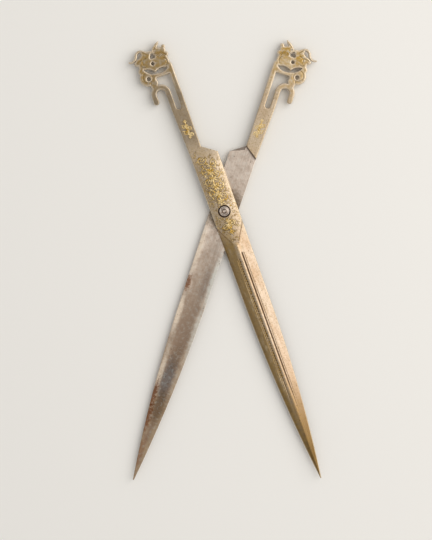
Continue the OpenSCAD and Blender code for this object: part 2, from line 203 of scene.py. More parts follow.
class GoldSizes(bpy.types.PropertyGroup):
    """Sizes of the gold laid on the steel."""

    thick: length("Thickness", "Height of the gold over the steel", 0.1)
    wire: length("Wire", "Width of the gold wire", 0.54)
    scroll: length("Scroll", "Outer radius of a scroll", 2.8)
    step: length("Scroll step", "From one scroll to the next along the bolster", 6.6)
    leaf_l: length("Leaf", "Length of a leaf", 1.8)
    leaf_w: length("Leaf width", "Width of a leaf", 0.7)
    leaf_step: length("Leaf step", "From one leaf to the next along a scroll", 2.3)
    flower: length("Flower", "Radius of a flower in the middle", 2.3)
    dust: length("Dust", "Least distance between two of the fine strokes", 2.1)
    rope_pitch: length("Rope pitch", "From one turn to the next in the rope moulding", 1.5)


class FinishColours(bpy.types.PropertyGroup):
    """Colours of the metals."""

    # Also painted highlights along every edge.
    worn: colour("Worn steel", "Pale steel where the gilding is rubbed off", "#D6C7AD")
    gilding: colour("Gilding", "What is left of the fire gilding", "#B8944A")
    patina: colour("Patina", "Olive brown patina", "#A48A66")
    # Also painted shade on the blade's facet that faces away from the light.
    olive: colour("Olive", "Darker patina on the facet that looks away from the hand", "#8B703F")
    tanned: colour("Tanned steel", "Orange brown of the other facet toward the tip", "#B58C66")
    rose: colour("Rose steel", "Pinkish steel on the facets", "#D2BEAA")
    # Also painted shade on the inner faces, along the handle's step and on the shoulder's bevel.
    dirt: colour("Dirt", "Dirt and oxide in cuts and corners", "#4E3420")
    # Also painted shade along the cutting edge, on the facet that faces away from the light.
    soil_and_shade: colour("Soil", "Brown soil beside the gold", "#563F22")
    # On the front handle also painted shade, which makes that handle darker than the rear one.
    tarnish: colour("Tarnish", "Grey brown tarnish on the front handle", "#7B7061")
    # Also painted highlights, on the heads' edges and along the rear blade's spine.
    clean: colour("Clean steel", "Steel rubbed clean along the spine", "#E6D7C4")
    # Also painted sheen along the rear blade's cutting edge.
    frost_and_sheen: colour("Frosted steel", "Pale bluish bloom along the cutting edge", "#D3DAD6")
    ground: colour("Ground steel", "Bare ground steel of the inner faces", "#E2D3C5")
    aged: colour("Aged steel", "Ground steel toward the tips, yellowed with age", "#B59D80")
    # Also painted shade round the pivot, where the front half lies over the rear one.
    smoke_and_shade: colour("Smoked steel", "Darker steel in the hollow of the inner faces", "#967F6C")
    slate: colour("Slate steel", "Blue grey bloom on the inner faces", "#746E6C")
    rust: colour("Rust", "Rust along the spine", "#7E4E2C")
    # Also painted shade round the pivot, where the two halves overlap.
    grease_and_shade: colour("Grease", "Old oil round the pivot", "#4E4326")
    gold: colour("Gold", "High carat gold", "#C09A4A")
    pale_gold: colour("Rubbed gold", "Gold rubbed thin over the steel", "#DCC391")
    rivet: colour("Rivet steel", "Polished steel of the rivet", "#C9BDB2")
    oxide: colour("Blackened steel", "Oxide on the collars", "#3B2A22")


class StudioSettings(bpy.types.PropertyGroup):
    """Camera, light and floor."""

    distance: length("Distance", "From the camera to the scissors", 1500)
    view_height: length("View height", "Height of what the picture shows at the scissors", 308.6)
    pivot_right: length("Pivot right", "How far right of the picture's middle the pivot is", 4.74)
    pivot_up: length("Pivot up", "How far above the picture's middle the pivot is", 33.5)
    roll: FloatProperty(
        name="Roll", description="Turn of the camera", default=math.radians(-0.6), unit="ROTATION"
    )
    key_power: FloatProperty(name="Key", description="Power of the large soft light", default=14.6, min=0)
    ceiling: FloatProperty(name="Ceiling", description="Brightness of the room overhead", default=0.5, min=0)
    wall: FloatProperty(name="Walls", description="Brightness of the room near the floor", default=0.8, min=0)
    floor: colour("Floor", "Colour of the paper floor", "#F2F0EC")


def in_mm(group):
    """The properties of a group, with lengths in millimetres and angles in degrees."""
    values = {}
    for item in group.bl_rna.properties:
        if item.identifier in {"rna_type", "name"}:
            continue
        value = getattr(group, item.identifier)
        if item.unit == "LENGTH":
            value = round(value / MM, 4)
        elif item.unit == "ROTATION":
            value = math.degrees(value)
        values[item.identifier] = value
    return SimpleNamespace(**values)


def finish_colours(scene):
    """The colours of the metals, each with its alpha."""
    return SimpleNamespace(**{
        name: (*value, 1) for name, value in vars(in_mm(scene.scissors_finish)).items()
    })


def half_sizes(scene):
    """Sizes of a half, with the few that follow from others."""
    s = SimpleNamespace(
        blade=in_mm(scene.scissors_blade),
        bolster=in_mm(scene.scissors_bolster),
        handle=in_mm(scene.scissors_handle),
    )
    s.neck_y = s.bolster.shoulder + s.bolster.shoulder_rise
    s.hook_y = s.handle.slot_y + s.handle.hook_rise
    s.head_y = s.handle.slot_y + s.handle.head_rise
    s.top_y = s.head_y + HEAD_HEIGHT
    s.point_y = s.bolster.point_start + s.bolster.point_l
    s.rib_y = s.point_y - 0.5                   # the rib starts inside the bolster's pointed end
    s.crown_z = FACE_Z + s.bolster.crown
    s.slope_y = s.bolster.shoulder - 12         # the crown turns into the handle from here to the neck
    s.slot_x = -STOP_X - s.handle.rail - s.handle.slot_w
    s.outer_rail = s.handle.slot_neck_w + s.slot_x
    s.hook_x = -s.handle.slot_neck_w - s.handle.hook_r
    s.fall = (s.blade.ridge - s.blade.tip) / s.blade.reach
    s.drift = s.blade.tip_x / s.blade.reach
    s.facet = math.tan(math.radians(s.blade.facet_fall))
    s.rib_top_z = FACE_Z + s.blade.ridge + s.bolster.rib_h - s.rib_y * s.fall
    return s


# Outlines in the plan of a half


def arc(centre, radius, start, end):
    """Points along an arc between two angles in degrees, both ends among them."""
    sweep = abs(math.radians(end - start))
    steps = max(math.ceil(sweep * radius / ARC_SPACING), math.ceil(sweep * ARC_STEPS))
    angles = [math.radians(start + (end - start) * i / steps) for i in range(steps + 1)]
    return [(centre[0] + radius * math.cos(a), centre[1] + radius * math.sin(a)) for a in angles]


def circle(centre, radius):
    """Points round a circle."""
    return arc(centre, radius, 0, 360)[:-1]


def polar(centre, radius, angle):
    """The point at a distance and an angle in degrees from a centre."""
    turn = math.radians(angle)
    return (centre[0] + radius * math.cos(turn), centre[1] + radius * math.sin(turn))


def leaf(x, y, turn, leaf_length, width):
    """Outline of a pointed leaf of two arcs, from a point along +Y and then turned."""
    radius = (leaf_length**2 + width**2) / (4 * width)
    half_sweep = math.degrees(math.asin(leaf_length / 2 / radius))
    offset = radius - width / 2
    right = arc((-offset, leaf_length / 2), radius, -half_sweep, half_sweep)
    left = arc((offset, leaf_length / 2), radius, 180 - half_sweep, 180 + half_sweep)
    return placed(right[:-1] + left[:-1], x, y, turn)


def placed(points, x, y, turn):
    """The points turned by an angle in degrees and moved."""
    c, s = math.cos(math.radians(turn)), math.sin(math.radians(turn))
    return [(x + c * px - s * py, y + s * px + c * py) for px, py in points]


def bent_band(centre, radius, start, end, start_w, end_w):
    """Outline of a band bent on a radius, which changes its width on the way and has round ends."""
    steps = 40
    shares = [i / steps for i in range(steps + 1)]

    def side(sign):
        return [
            polar(centre, radius + sign * (start_w + (end_w - start_w) * t) / 2, start + (end - start) * t)
            for t in shares
        ]

    end_cap = arc(polar(centre, radius, end), end_w / 2, end, end + 180)[1:-1]
    start_cap = arc(polar(centre, radius, start), start_w / 2, start + 180, start + 360)[1:-1]
    return side(1) + end_cap + side(-1)[::-1] + start_cap


def curved_in(x0, y0, x1, y1):
    """Points of an edge that runs straight down and then curves in."""
    steps = 60
    return [(x0 + (x1 - x0) * (i / steps) ** 2, y0 + (y1 - y0) * i / steps) for i in range(steps + 1)]


def blade_outline(s):
    """Outline of the blade and the bolster's body, up to the neck."""
    b = s.blade
    edge_side = curved_in(-b.edge + b.edge_draw, -b.edge_curve, b.tip_x - b.tip_w / 2, -b.reach)
    spine_side = curved_in(b.spine, -b.spine_curve, b.tip_x + b.tip_w / 2, -b.reach)
    shoulder = [(b.spine, s.bolster.shoulder), (-STOP_X, s.neck_y), (-s.handle.neck_w, s.neck_y)]
    return [(-s.handle.neck_w, s.bolster.shoulder), *edge_side, *spine_side[::-1], *shoulder]


def hook_outlines(s):
    """Outlines of the hook: its bend, its two legs and the round end of the free one."""
    h, y = s.handle, s.hook_y
    outer = h.hook_r + s.outer_rail
    bend = arc((s.hook_x, y), outer, 0, 180) + arc((s.hook_x, y), h.hook_r, 180, 0)
    legs = [
        [(x, y - h.hook_leg), (x + s.outer_rail, y - h.hook_leg), (x + s.outer_rail, y), (x, y)]
        for x in (s.hook_x - outer, s.hook_x + h.hook_r)
    ]
    end = circle((s.hook_x - h.hook_r - s.outer_rail / 2, y - h.hook_leg), s.outer_rail / 2)
    return [bend, *legs, end]


def head_discs(s):
    """Discs that make up the openwork head, as centre and radius."""
    discs = [
        (-11.4, 8.6, 7.2), (-7.3, 7.4, 6.4), (-2.2, 4.6, 2.1), (-1.7, 11.2, 1.6), (-2.7, 13.9, 1.8),
        (-5.4, 13.9, 2.4), (-1.6, 15.7, 1.2), (-17.4, 5.8, 2.4), (-13.6, -2.4, 2.6), (-14, -4.7, 1.6),
        (*VOLUTE, s.handle.volute_r),
    ]
    return [((x, s.head_y + y), r) for x, y, r in discs]


def rim_leaves(s):
    """Leaves on the head's rim, as place, turn, length and width."""
    leaves = [(-13.2, 11.9, 98, 7.4, 4.4), (-11.4, 12.8, 40, 5.6, 3.2), (-9.2, 14.4, -50, 8, 2)]
    return [(x, s.head_y + y, turn, long, wide) for x, y, turn, long, wide in leaves]


def leaf_piercings(s):
    """Leaf-shaped piercings of the head, likewise."""
    leaves = [(-16.4, 6.5, -124, 7.4, 2.2), (-11.2, 2.7, -83, 8.2, 2.7)]
    return [(x, s.head_y + y, turn, long, wide) for x, y, turn, long, wide in leaves]


def head_outlines(s):
    """Outlines of the openwork head's steel: discs, leaves, the bridge to the rail and the tendril."""
    h, turn = s.handle, 165
    left, low, high = -11.4, s.head_y, s.head_y + 4.3
    bridge = [(left, low), (-STOP_X, low), (-STOP_X, high), (left, high)]
    crook = (-15.6, s.head_y + 14.6)
    tail = polar(crook, h.crook_r + h.tail_r, turn)
    return [
        *[circle(centre, radius) for centre, radius in head_discs(s)],
        *[leaf(*values) for values in rim_leaves(s)],
        bridge,
        bent_band(crook, h.crook_r, 30, turn, h.tendril, h.tendril),
        bent_band(tail, h.tail_r, turn - 280, turn - 180, h.tendril_end, h.tendril),
    ]


def head_piercings(s):
    """Outlines cut from the head: the volute's eye, a dot, a trefoil and two leaves."""
    h = s.handle
    trefoil = (-9.3, s.head_y + 12.3)
    return [
        circle((-15.5, s.head_y + 0.7), h.eye_r),
        circle((-10.4, s.head_y + 8.3), h.dot_r),
        *[circle(polar(trefoil, h.lobe_r * 0.9, turn), h.lobe_r) for turn in (90, 210, 330)],
        *[leaf(*values) for values in leaf_piercings(s)],
    ]


def handle_outlines(s):
    """Outlines of the handle: neck, rails, hook and head."""
    h = s.handle
    neck_top, rail_top = h.slot_y + LAP, s.head_y + 2
    neck = [
        (-h.neck_w, s.bolster.shoulder), (-STOP_X, s.bolster.shoulder),
        (-STOP_X, neck_top), (-h.slot_neck_w, neck_top),
    ]
    inner = [
        (-STOP_X - h.rail, h.slot_y), (-STOP_X, h.slot_y), (-STOP_X, rail_top), (-STOP_X - h.rail, rail_top),
    ]
    outer = [
        (-h.slot_neck_w, h.slot_y), (s.slot_x, h.slot_y), (s.slot_x, s.hook_y), (-h.slot_neck_w, s.hook_y),
    ]
    return [neck, inner, outer, *hook_outlines(s), *head_outlines(s)]


def inside(loop, points):
    """Which points lie inside a closed loop."""
    a = np.asarray(loop, float)
    b = np.roll(a, -1, axis=0)
    x, y = points[:, :1], points[:, 1:2]
    rise = np.where(b[:, 1] == a[:, 1], 1.0, b[:, 1] - a[:, 1])
    crosses = (a[:, 1] > y) != (b[:, 1] > y)
    meets = a[:, 0] + (y - a[:, 1]) * (b[:, 0] - a[:, 0]) / rise
    return (crosses & (x < meets)).sum(axis=1) % 2 == 1


def inside_any(loops, points):
    """Which points lie inside at least one of the loops."""
    found = np.zeros(len(points), bool)
    for loop in loops:
        found |= inside(loop, points)
    return found


def triangulated(points, edges):
    """Corners and anticlockwise triangles of a constrained Delaunay triangulation."""
    made = delaunay_2d_cdt([Vector(p) for p in points], edges, [], 0, NEAR)
    corners = np.array([tuple(v) for v in made[0]])
    triangles = np.array([t for t in made[2] if len(t) == 3])
    a, b, c = (corners[triangles[:, i]] for i in range(3))
    area = (b[:, 0] - a[:, 0]) * (c[:, 1] - a[:, 1]) - (b[:, 1] - a[:, 1]) * (c[:, 0] - a[:, 0])
    triangles[area < 0] = triangles[area < 0][:, ::-1]
    return corners, triangles[np.abs(area) > SLIVER]


def ring_edges(first, count):
    """Edges of a closed ring of points."""
    return [(first + i, first + (i + 1) % count) for i in range(count)]


def border_edges(triangles):
    """Directed edges that only one triangle has, with the steel on their left."""
    edges = {(t[i], t[(i + 1) % 3]) for t in triangles.tolist() for i in range(3)}
    return [(a, b) for a, b in edges if (b, a) not in edges]


def merged(solids, cuts):
    """Loops round what the solid outlines cover less what is cut, the steel on their left."""
    points, edges = [], []
    for loop in solids + cuts:
        edges += ring_edges(len(points), len(loop))
        points += loop
    corners, triangles = triangulated(points, edges)
    middle = corners[triangles].mean(axis=1)
    kept = triangles[inside_any(solids, middle) & ~inside_any(cuts, middle)]
    after = {}
    for a, b in sorted(border_edges(kept)):
        after.setdefault(a, []).append(b)
    loops = []
    while after:
        start = here = min(after)
        loop = []
        while True:
            loop.append(corners[here])
            step = after[here].pop()
            if not after[here]:
                del after[here]
            here = step
            if here == start:
                break
        loops.append(np.array(loop))
    return loops


def resampled(loop, spacing):
    """The closed loop with its corners kept and the stretches between them divided evenly."""
    least_step, least_bend = 0.05, 24
    kept = [loop[0]]
    for point in loop[1:]:
        if np.linalg.norm(point - kept[-1]) > least_step:
            kept.append(point)
    loop = np.array(kept)
    step = np.roll(loop, -1, axis=0) - loop
    heading = np.degrees(np.arctan2(step[:, 1], step[:, 0]))
    bend = (heading - np.roll(heading, 1) + 180) % 360 - 180
    corners = [i for i, turn in enumerate(bend) if abs(turn) > least_bend] or [0]
    points = []
    for n, start in enumerate(corners):
        end = corners[(n + 1) % len(corners)]
        count = (end - start) % len(loop) or len(loop)
        run = loop[[(start + i) % len(loop) for i in range(count + 1)]]
        travelled = np.concatenate([[0], np.cumsum(np.linalg.norm(np.diff(run, axis=0), axis=1))])
        pieces = max(1, round(travelled[-1] / spacing))
        at = np.linspace(0, travelled[-1], pieces + 1)[:-1]
        points += list(zip(np.interp(at, travelled, run[:, 0]), np.interp(at, travelled, run[:, 1])))
    return np.array(points)


def offset_ring(loop, distance):
    """The loop's points moved into the steel by a distance, and not far past it at a sharp corner."""
    sharpest = 0.35
    step = np.roll(loop, -1, axis=0) - loop
    normal = np.stack([-step[:, 1], step[:, 0]], axis=1)
    normal /= np.linalg.norm(normal, axis=1, keepdims=True)
    both = normal + np.roll(normal, 1, axis=0)
    size = np.maximum(np.linalg.norm(both, axis=1, keepdims=True), sharpest)
    return loop + both / size * (distance * 2 / size)


class Nearest:
    """Distances to the nearest of many points in the plan."""

    def __init__(self, points):
        self.points = np.asarray(points, float)
        self.tree = kdtree.KDTree(len(self.points))
        for i, (x, y) in enumerate(self.points):
            self.tree.insert((x, y, 0), i)
        self.tree.balance()

    def find(self, points):
        """Distance and index of the nearest for each point."""
        found = [self.tree.find((x, y, 0)) for x, y in points]
        return np.array([f[2] for f in found]), np.array([f[1] for f in found], int)


def along(line, spacing):
    """Points spread evenly along an open line, both ends among them."""
    line = np.asarray(line, float)
    travelled = np.concatenate([[0], np.cumsum(np.linalg.norm(np.diff(line, axis=0), axis=1))])
    at = np.linspace(0, travelled[-1], max(2, math.ceil(travelled[-1] / spacing) + 1))
    return np.stack([np.interp(at, travelled, line[:, 0]), np.interp(at, travelled, line[:, 1])], axis=1)


def beside(line, distance):
    """The open line moved to its left by a distance."""
    line = np.asarray(line, float)
    heading = np.gradient(line, axis=0)
    heading /= np.linalg.norm(heading, axis=1, keepdims=True)
    return line + distance * np.stack([-heading[:, 1], heading[:, 0]], axis=1)


# Relief of a half


def ease(value, start, end):
    """Smooth step of an array from 0 at start to 1 at end."""
    t = np.clip((value - start) / (end - start), 0, 1)
    return t * t * (3 - 2 * t)


def ridge_x(s, y):
    """Sideways place of the blade's ridge."""
    return np.clip(-y, 0, None) * s.drift


def rib_half(s, y):
    """Half the width of the rib."""
    share = np.clip((-y - s.rib_y) / s.bolster.rib_l, 0, 1)
    return (s.bolster.rib_w + (s.bolster.rib_end_w - s.bolster.rib_w) * share) / 2


def raised_sides(s, y):
    """Left and right edge of the bolster, which draws in to the rib below the pivot.

    Further up the bolster is as wide as the half, so its edges are put past the half's own.
    """
    swing = 1 - ease(-y, s.bolster.point_start, s.point_y)
    past = 1.5 * ease(y, -s.bolster.point_start - 2.5, -s.bolster.point_start)
    end = rib_half(s, y)
    left = ridge_x(s, y) - end - (s.blade.edge - s.bolster.rib_w / 2) * swing - past
    right = ridge_x(s, y) + end + (s.blade.spine - s.bolster.rib_w / 2) * swing + past
    return left, right


def inside_raised(s, x, y):
    """Distance inside the bolster's and the rib's edge, and under 0 outside."""
    left, right = raised_sides(s, y)
    # The sides follow a smooth step, whose slope is 6 share (1 - share).
    share = np.clip((-y - s.bolster.point_start) / s.bolster.point_l, 0, 1)
    lean = (s.blade.spine - s.bolster.rib_w / 2) * 6 * share * (1 - share) / s.bolster.point_l
    return np.minimum(x - left, right - x) / np.sqrt(1 + lean**2)


def handle_z(s, y):
    """Height of the handle's face over the plane between the halves."""
    h = s.handle
    return (h.neck_t + (h.top_t - h.neck_t) * (y - s.neck_y) / (s.top_y - s.neck_y)) / 2


def crown_line(s, y):
    """Height of the middle of the outer face, from the rib over the bolster and up the handle."""
    low = ease(y, -s.point_y, -s.bolster.point_start)
    high = ease(y, s.slope_y, s.neck_y)
    bolster = s.rib_top_z + (s.crown_z - s.rib_top_z) * low
    return bolster + (handle_z(s, np.maximum(y, s.slope_y)) - s.crown_z) * high


def chased_lines(s):
    """Lines chased in the head: veins of the rim's leaves, the volute's spiral and short curves and ticks."""
    lines = []
    for x, y, turn, long, wide in rim_leaves(s):
        vein = [(0.5 * math.sin(t * math.pi) * wide / 4, long * t) for t in np.linspace(0.3, 0.84, 10)]
        lines.append(placed(vein, x, y, turn))
    volute = (VOLUTE[0], s.head_y + VOLUTE[1])
    lines.append([polar(volute, 3.6 - 1.3 * t, 20 + 400 * t) for t in np.linspace(0, 1, 60)])
    for x, y, radius, start, end in (
        (-4.6, 7.4, 2.3, -60, 70), (-13.6, 10.3, 2.2, 80, 200),
        (-15.6, 9.2, 1.5, 190, 300), (-7, 16.2, 1.8, 190, 280), (-13.9, -2.6, 1.5, 100, 200),
    ):
        lines.append(arc((x, s.head_y + y), radius, start, end))
    for n in range(5):
        foot = (-1.7 - 1.1 * n, s.head_y + 10.4 + 0.1 * n)
        lines.append(along([foot, (foot[0] - 2, foot[1] + 2.6)], 0.2))
    return lines


def hammered(x, y):
    """Slow rise and fall left by the hammer, a little longer along the half than across."""
    height, size, seed = 0.012, 5, 1
    return height * np.array([noise.noise((px / size, py / size / 1.6, seed)) for px, py in zip(x, y)])


def outer_face(s, x, y):
    """Height of the outer face and depth of what is cut in it, away from the edges."""
    b = s.bolster
    across = x - ridge_x(s, y)
    facets = FACE_Z + s.blade.ridge + np.minimum(y, 0) * s.fall - np.abs(across) * s.facet
    share = np.clip((-y - s.rib_y) / b.rib_l, 0, 1)
    half = rib_half(s, y)
    rib = facets + b.rib_h * (1 - share) * (1 - 0.45 * np.clip(np.abs(across) / half, 0, 1) ** 4)
    bend = (1 - ease(y, s.slope_y, s.neck_y)) / (2 * b.crown_r)
    bolster = crown_line(s, y) - bend * x**2
    raised = bolster + (rib - bolster) * ease(-y, s.point_y - 3, s.point_y)
    slope_w = b.ogee + (RIB_SIDE - b.ogee) * ease(-y, s.point_y - 6, s.point_y + 4)
    above = ease(inside_raised(s, x, y), -slope_w, 0.1)
    above = np.maximum(above, ease(y, b.shoulder - 8, b.shoulder))
    height = facets + (raised - facets) * above
    cut = np.zeros(len(x))
    fade = 1 - ease(-y, s.rib_y + 0.7 * b.rib_l, s.rib_y + b.rib_l)
    # The left groove starts softly, and the right one almost at once.
    for side, start, run in ((-1, s.rib_y + 4, 6), (1, s.rib_y + 3.4, 0.8)):
        begin = ease(-y, start, start + run)
        off = np.abs(across - side * (half + GROOVE_OFF)) / b.groove_w
        cut = np.maximum(cut, np.clip(1 - off**2, 0, 1) * fade * begin)
        off = np.abs(across - side * (half + LINE_OFF)) / LINE_W
        cut = np.maximum(cut, LINE_DEPTH * np.clip(1 - off**2, 0, 1) * fade * begin)
    return height - b.groove * cut, cut


def inner_face(s, x, y):
    """Height of the ground inner face of the blade and of the bevel under the shoulder."""
    b = s.blade
    width = b.edge + b.spine - 2 * b.land - b.edge_draw
    start_y, run = -COLLAR_DIAMETER, HOLLOW_RUN * b.reach
    down = (start_y - y) / run
    middle = (b.spine - b.edge) / 2 + (b.tip_x - (b.spine - b.edge) / 2) / b.reach * (start_y - y)
    radius = (width**2 / 4 + b.hollow**2) / (2 * b.hollow)
    deep = b.hollow * (1 - np.clip(down, 0, 1)) - (x - middle) ** 2 / (2 * radius)
    hollow = np.clip(deep, 0, None) * ease(down, 0, 0.02)
    turn = math.atan2(s.bolster.shoulder_rise - s.bolster.bevel_w, b.spine + STOP_X)
    past = (x + STOP_X) * math.sin(turn) + (y - s.neck_y + s.bolster.bevel_w) * math.cos(turn)
    bevel = np.clip(past, 0, None) * s.bolster.bevel_t / s.bolster.bevel_w
    return FACE_Z + hollow + np.where(x > -STOP_X - 0.01, bevel, 0)


def past_step(s, x, y):
    """Distance past the slanting step where the handle's lower layer begins, and under 0 before it."""
    rise = s.bolster.shoulder_rise / (s.blade.spine + STOP_X)
    past = (y - s.neck_y - 2 * STOP_X - rise * x) / math.sqrt(1 + rise**2)
    return np.where(x < 0.001, past, -FAR)


def worn_drop(distance, radius):
    """How far a rounded edge lies under its face at a distance from the border."""
    short = np.clip(radius - distance, 0, radius)
    return radius - np.sqrt(np.clip(radius**2 - short**2, 0, None))


def feature_lines(s):
    """Lines along which a half's faces need their own points: grooves, slopes, steps and chased lines."""
    rib_end = s.rib_y + s.bolster.rib_l
    lines = []
    # The grooves beside the rib, and the fine lines beside them.
    for side in (-1, 1):
        for off in (-0.5, -0.3, -0.12, 0.12, 0.3, 0.5, 0.83, 1.03, 1.23):
            y = np.arange(-s.point_y + 1, -rib_end, -0.55)
            lines.append(np.stack([ridge_x(s, y) + side * (rib_half(s, y) + GROOVE_OFF + off), y], axis=1))
    # The slope round the bolster's pointed end.
    y = np.arange(-s.bolster.point_start + 1, -s.point_y + 1, -0.3)
    for edge, sign in zip(raised_sides(s, y), (-1, 1)):
        outline = np.stack([edge, y], axis=1)
        for off in (-0.15, 0.1, 0.3, 0.5, 0.75):
            lines.append(beside(outline, -sign * off))
    # The step where the handle's lower layer begins, right across the neck.
    rise = s.bolster.shoulder_rise / (s.blade.spine + STOP_X)
    step_y = s.neck_y + 2 * STOP_X
    step = along([(x, step_y + x * rise) for x in (-0.02, -9.4)], 0.35)
    lines += [beside(step, off) for off in (-0.02, 0.02, 0.14, 0.3)]
    # The bevel under the shoulder and the collar's seat.
    bevel_y = s.neck_y - s.bolster.bevel_w
    lines.append(along([(-STOP_X, bevel_y), (s.blade.spine, s.bolster.shoulder)], 0.35))
    lines += [np.array(circle((0, 0), SEAT_R + off)) for off in (-0.02, 0.02, 0.15)]
    for line in chased_lines(s):
        line = along(line, 0.3)
        lines += [beside(line, off) for off in np.linspace(-s.handle.chase_w, s.handle.chase_w, 5)]
    return lines


class HalfPlan:
    """The plan of a half: its border, and one triangulation that both faces share."""

    def __init__(self, s, spacing=0.5, fine=0.3):
        solids = [blade_outline(s), *handle_outlines(s)]
        slot_end = circle((s.slot_x + s.handle.slot_w / 2, s.handle.slot_y), s.handle.slot_w / 2)
        cuts = [circle((0, 0), HALF_HOLE_R), slot_end, *head_piercings(s)]
        self.loops = [resampled(loop, BORDER_SPACING) for loop in merged(solids, cuts)]
        self.border = Nearest(np.concatenate([along([*loop, loop[0]], 0.05) for loop in self.loops]))
        points, edges = [], []
        for loop in self.loops:
            edges += ring_edges(len(points), len(loop))
            points += loop.tolist()
        lines = np.zeros((0, 2))
        for line in feature_lines(s):
            kept = self.well_inside(line, LINE_MARGIN)
            first = len(points) + np.cumsum(kept) - 1
            edges += [(first[i], first[i + 1]) for i in range(len(line) - 1) if kept[i] and kept[i + 1]]
            points += line[kept].tolist()
            lines = np.vstack([lines, line[kept]])
        lines = Nearest(lines)
        points += self.ring_points(lines)
        points += self.grid_points(s, lines, spacing, fine)
        corners, triangles = triangulated(points, [(int(a), int(b)) for a, b in edges])
        self.triangles = triangles[self.covers(corners[triangles].mean(axis=1))]
        used = np.unique(self.triangles)
        renumbered = np.zeros(len(corners), int)
        renumbered[used] = np.arange(len(used))
        self.points, self.triangles = corners[used], renumbered[self.triangles]

    def ring_points(self, lines):
        """Points on rings inside the border, clear of the lines."""
        rings = []
        for loop in self.loops:
            for distance in RINGS:
                ring = offset_ring(loop, distance)
                ring = ring[self.well_inside(ring, distance * 0.93)]
                rings.append(ring[lines.find(ring)[0] > RING_CLEAR])
        return np.concatenate(rings).tolist()

    def grid_points(self, s, lines, spacing, fine):
        """Points of a triangular grid over the rest, clear of the lines and finer on the bolster."""
        low = np.min([loop.min(axis=0) for loop in self.loops], axis=0)
        high = np.max([loop.max(axis=0) for loop in self.loops], axis=0)
        grid = []
        for bottom, top, step in (
            (low[1], -s.point_y, spacing), (-s.point_y, s.neck_y, fine), (s.neck_y, high[1], spacing),
        ):
            for n, y in enumerate(np.arange(bottom, top, step * math.sqrt(3) / 2)):
                grid += [(x, y) for x in np.arange(low[0] + (n % 2) * step / 2, high[0], step)]
        grid = np.array(grid)
        grid = grid[self.well_inside(grid, RINGS[-1] + 0.15)]
        return grid[lines.find(grid)[0] > GRID_CLEAR].tolist()

    def covers(self, points):
        """Which points lie in the steel."""
        count = np.zeros(len(points), int)
        for loop in self.loops:
            count += inside(loop, points)
        return count % 2 == 1

    def well_inside(self, points, distance):
        """Which points lie in the steel, at least so far from the border."""
        points = np.asarray(points, float)
        return self.covers(points) & (self.border.find(points)[0] >= distance)


def half_faces(s, plan):
    """Outer and inner height of the plan's points, their distance from the border, and both faces' dirt and
    painted shade.
    """
    x, y = plan.points.T
    distance, nearest = plan.border.find(plan.points)
    border_x, border_y = plan.border.points[nearest].T
    outer, cut = outer_face(s, x, y)
    outer = outer + hammered(x, y) * np.clip(distance, 0, 1)
    past = past_step(s, x, y)
    inner = np.where(past > 0, -crown_line(s, y), inner_face(s, x, y))
    # Chased lines are on both faces.
    lines = np.concatenate([along(line, 0.06) for line in chased_lines(s)])
    chased = np.clip(1 - (Nearest(lines).find(plan.points)[0] / s.handle.chase_w) ** 2, 0, 1)
    chased *= ease(distance, 0.15, 0.5)
    cut = np.maximum(cut, CHASED_DIRT * chased)
    outer -= s.handle.chase_t * chased
    inner += s.handle.chase_t * chased
    # Edges are worn round, least at the tip, and not at all round the shank.
    on_handle = ease(border_y, s.slope_y, s.neck_y)
    radius = BLADE_ROUNDING + (s.handle.rounding - BLADE_ROUNDING) * on_handle
    radius -= 0.15 * ease(-border_y, 120, 158)
    shank = np.hypot(border_x, border_y) < HEAD_DIAMETER / 2
    rounded = outer - np.where(shank, 0, worn_drop(distance, radius))
    # The cutting edge is ground to a bevel from below the pivot to just short of the tip.
    cutting = (border_x < ridge_x(s, border_y)) & (border_y < -CUTTING_START)
    cutting &= border_y > 1.5 - s.blade.reach
    ground = FACE_Z + s.blade.bevel_t
    ramp = ground + (outer - ground) * np.clip(distance / s.blade.bevel, 0, 1)
    begun = ease(-border_y, CUTTING_START, CUTTING_START + 4)
    begun = begun * (1 - ease(-border_y, s.blade.reach - 6, s.blade.reach - 2))
    outer = np.where(cutting, rounded + (np.minimum(ramp, outer) - rounded) * begun, rounded)
    outer = np.where(np.hypot(x, y) < SEAT_R, COLLAR_BOTTOM, outer)
    # On the inner face only the handle's edges are worn round, and the rest stay nearly sharp.
    soft = np.where(past > 0, worn_drop(distance, radius), worn_drop(distance, 0.08))
    inner = inner + np.where(shank, 0, soft)
    inner += np.where((past > 0) & (past < 5), worn_drop(np.clip(past, 0, None), 0.14), 0)
    # The inner face's marks: dirt in the chased lines, and painted shade on the bevel and along the step.
    soil_and_shade = np.maximum(CHASED_DIRT * chased, step_and_bevel_shade(s, x, y))
    return outer, np.minimum(inner, outer - 0.02), distance, cut, soil_and_shade


def step_and_bevel_shade(s, x, y):
    """Painted shade that lies on the inner face under the shoulder's bevel and along the step, from 0 to 1.
    """
    bevel = (inner_face(s, x, y) - FACE_Z) / s.bolster.bevel_t * (y > s.bolster.shoulder - 3)
    step = past_step(s, x, y)
    return np.maximum(ease(bevel, 0, 0.15) * 0.6, 0.7 * np.exp(-((step + 0.2) / 0.4) ** 2))


def gilding_left(s, x, y, body):
    """Share of the fire gilding that is left on a half, most of it in two places on the heads."""
    places = [
        -160, -120, -40, -s.point_y - 4, -s.point_y + 2, s.slope_y, s.neck_y + 4, s.handle.slot_y, s.head_y,
    ]
    upper = {"front": [0.35, 0.2, 0.35, 1.0], "rear": [0.35, 0.1, 0.1, 0.6]}
    share = np.interp(y, places, [0.15, 0.3, 0.15, 0.2, 0.4, *upper[body]])
    for rich_x, rich_y in ((-4.5, s.head_y + 13), (-13, s.head_y + 11.5)):
        share += 0.8 * np.exp(-((x - rich_x) ** 2 + (y - rich_y) ** 2) / 8)
    return np.clip(share, 0, 1.2)


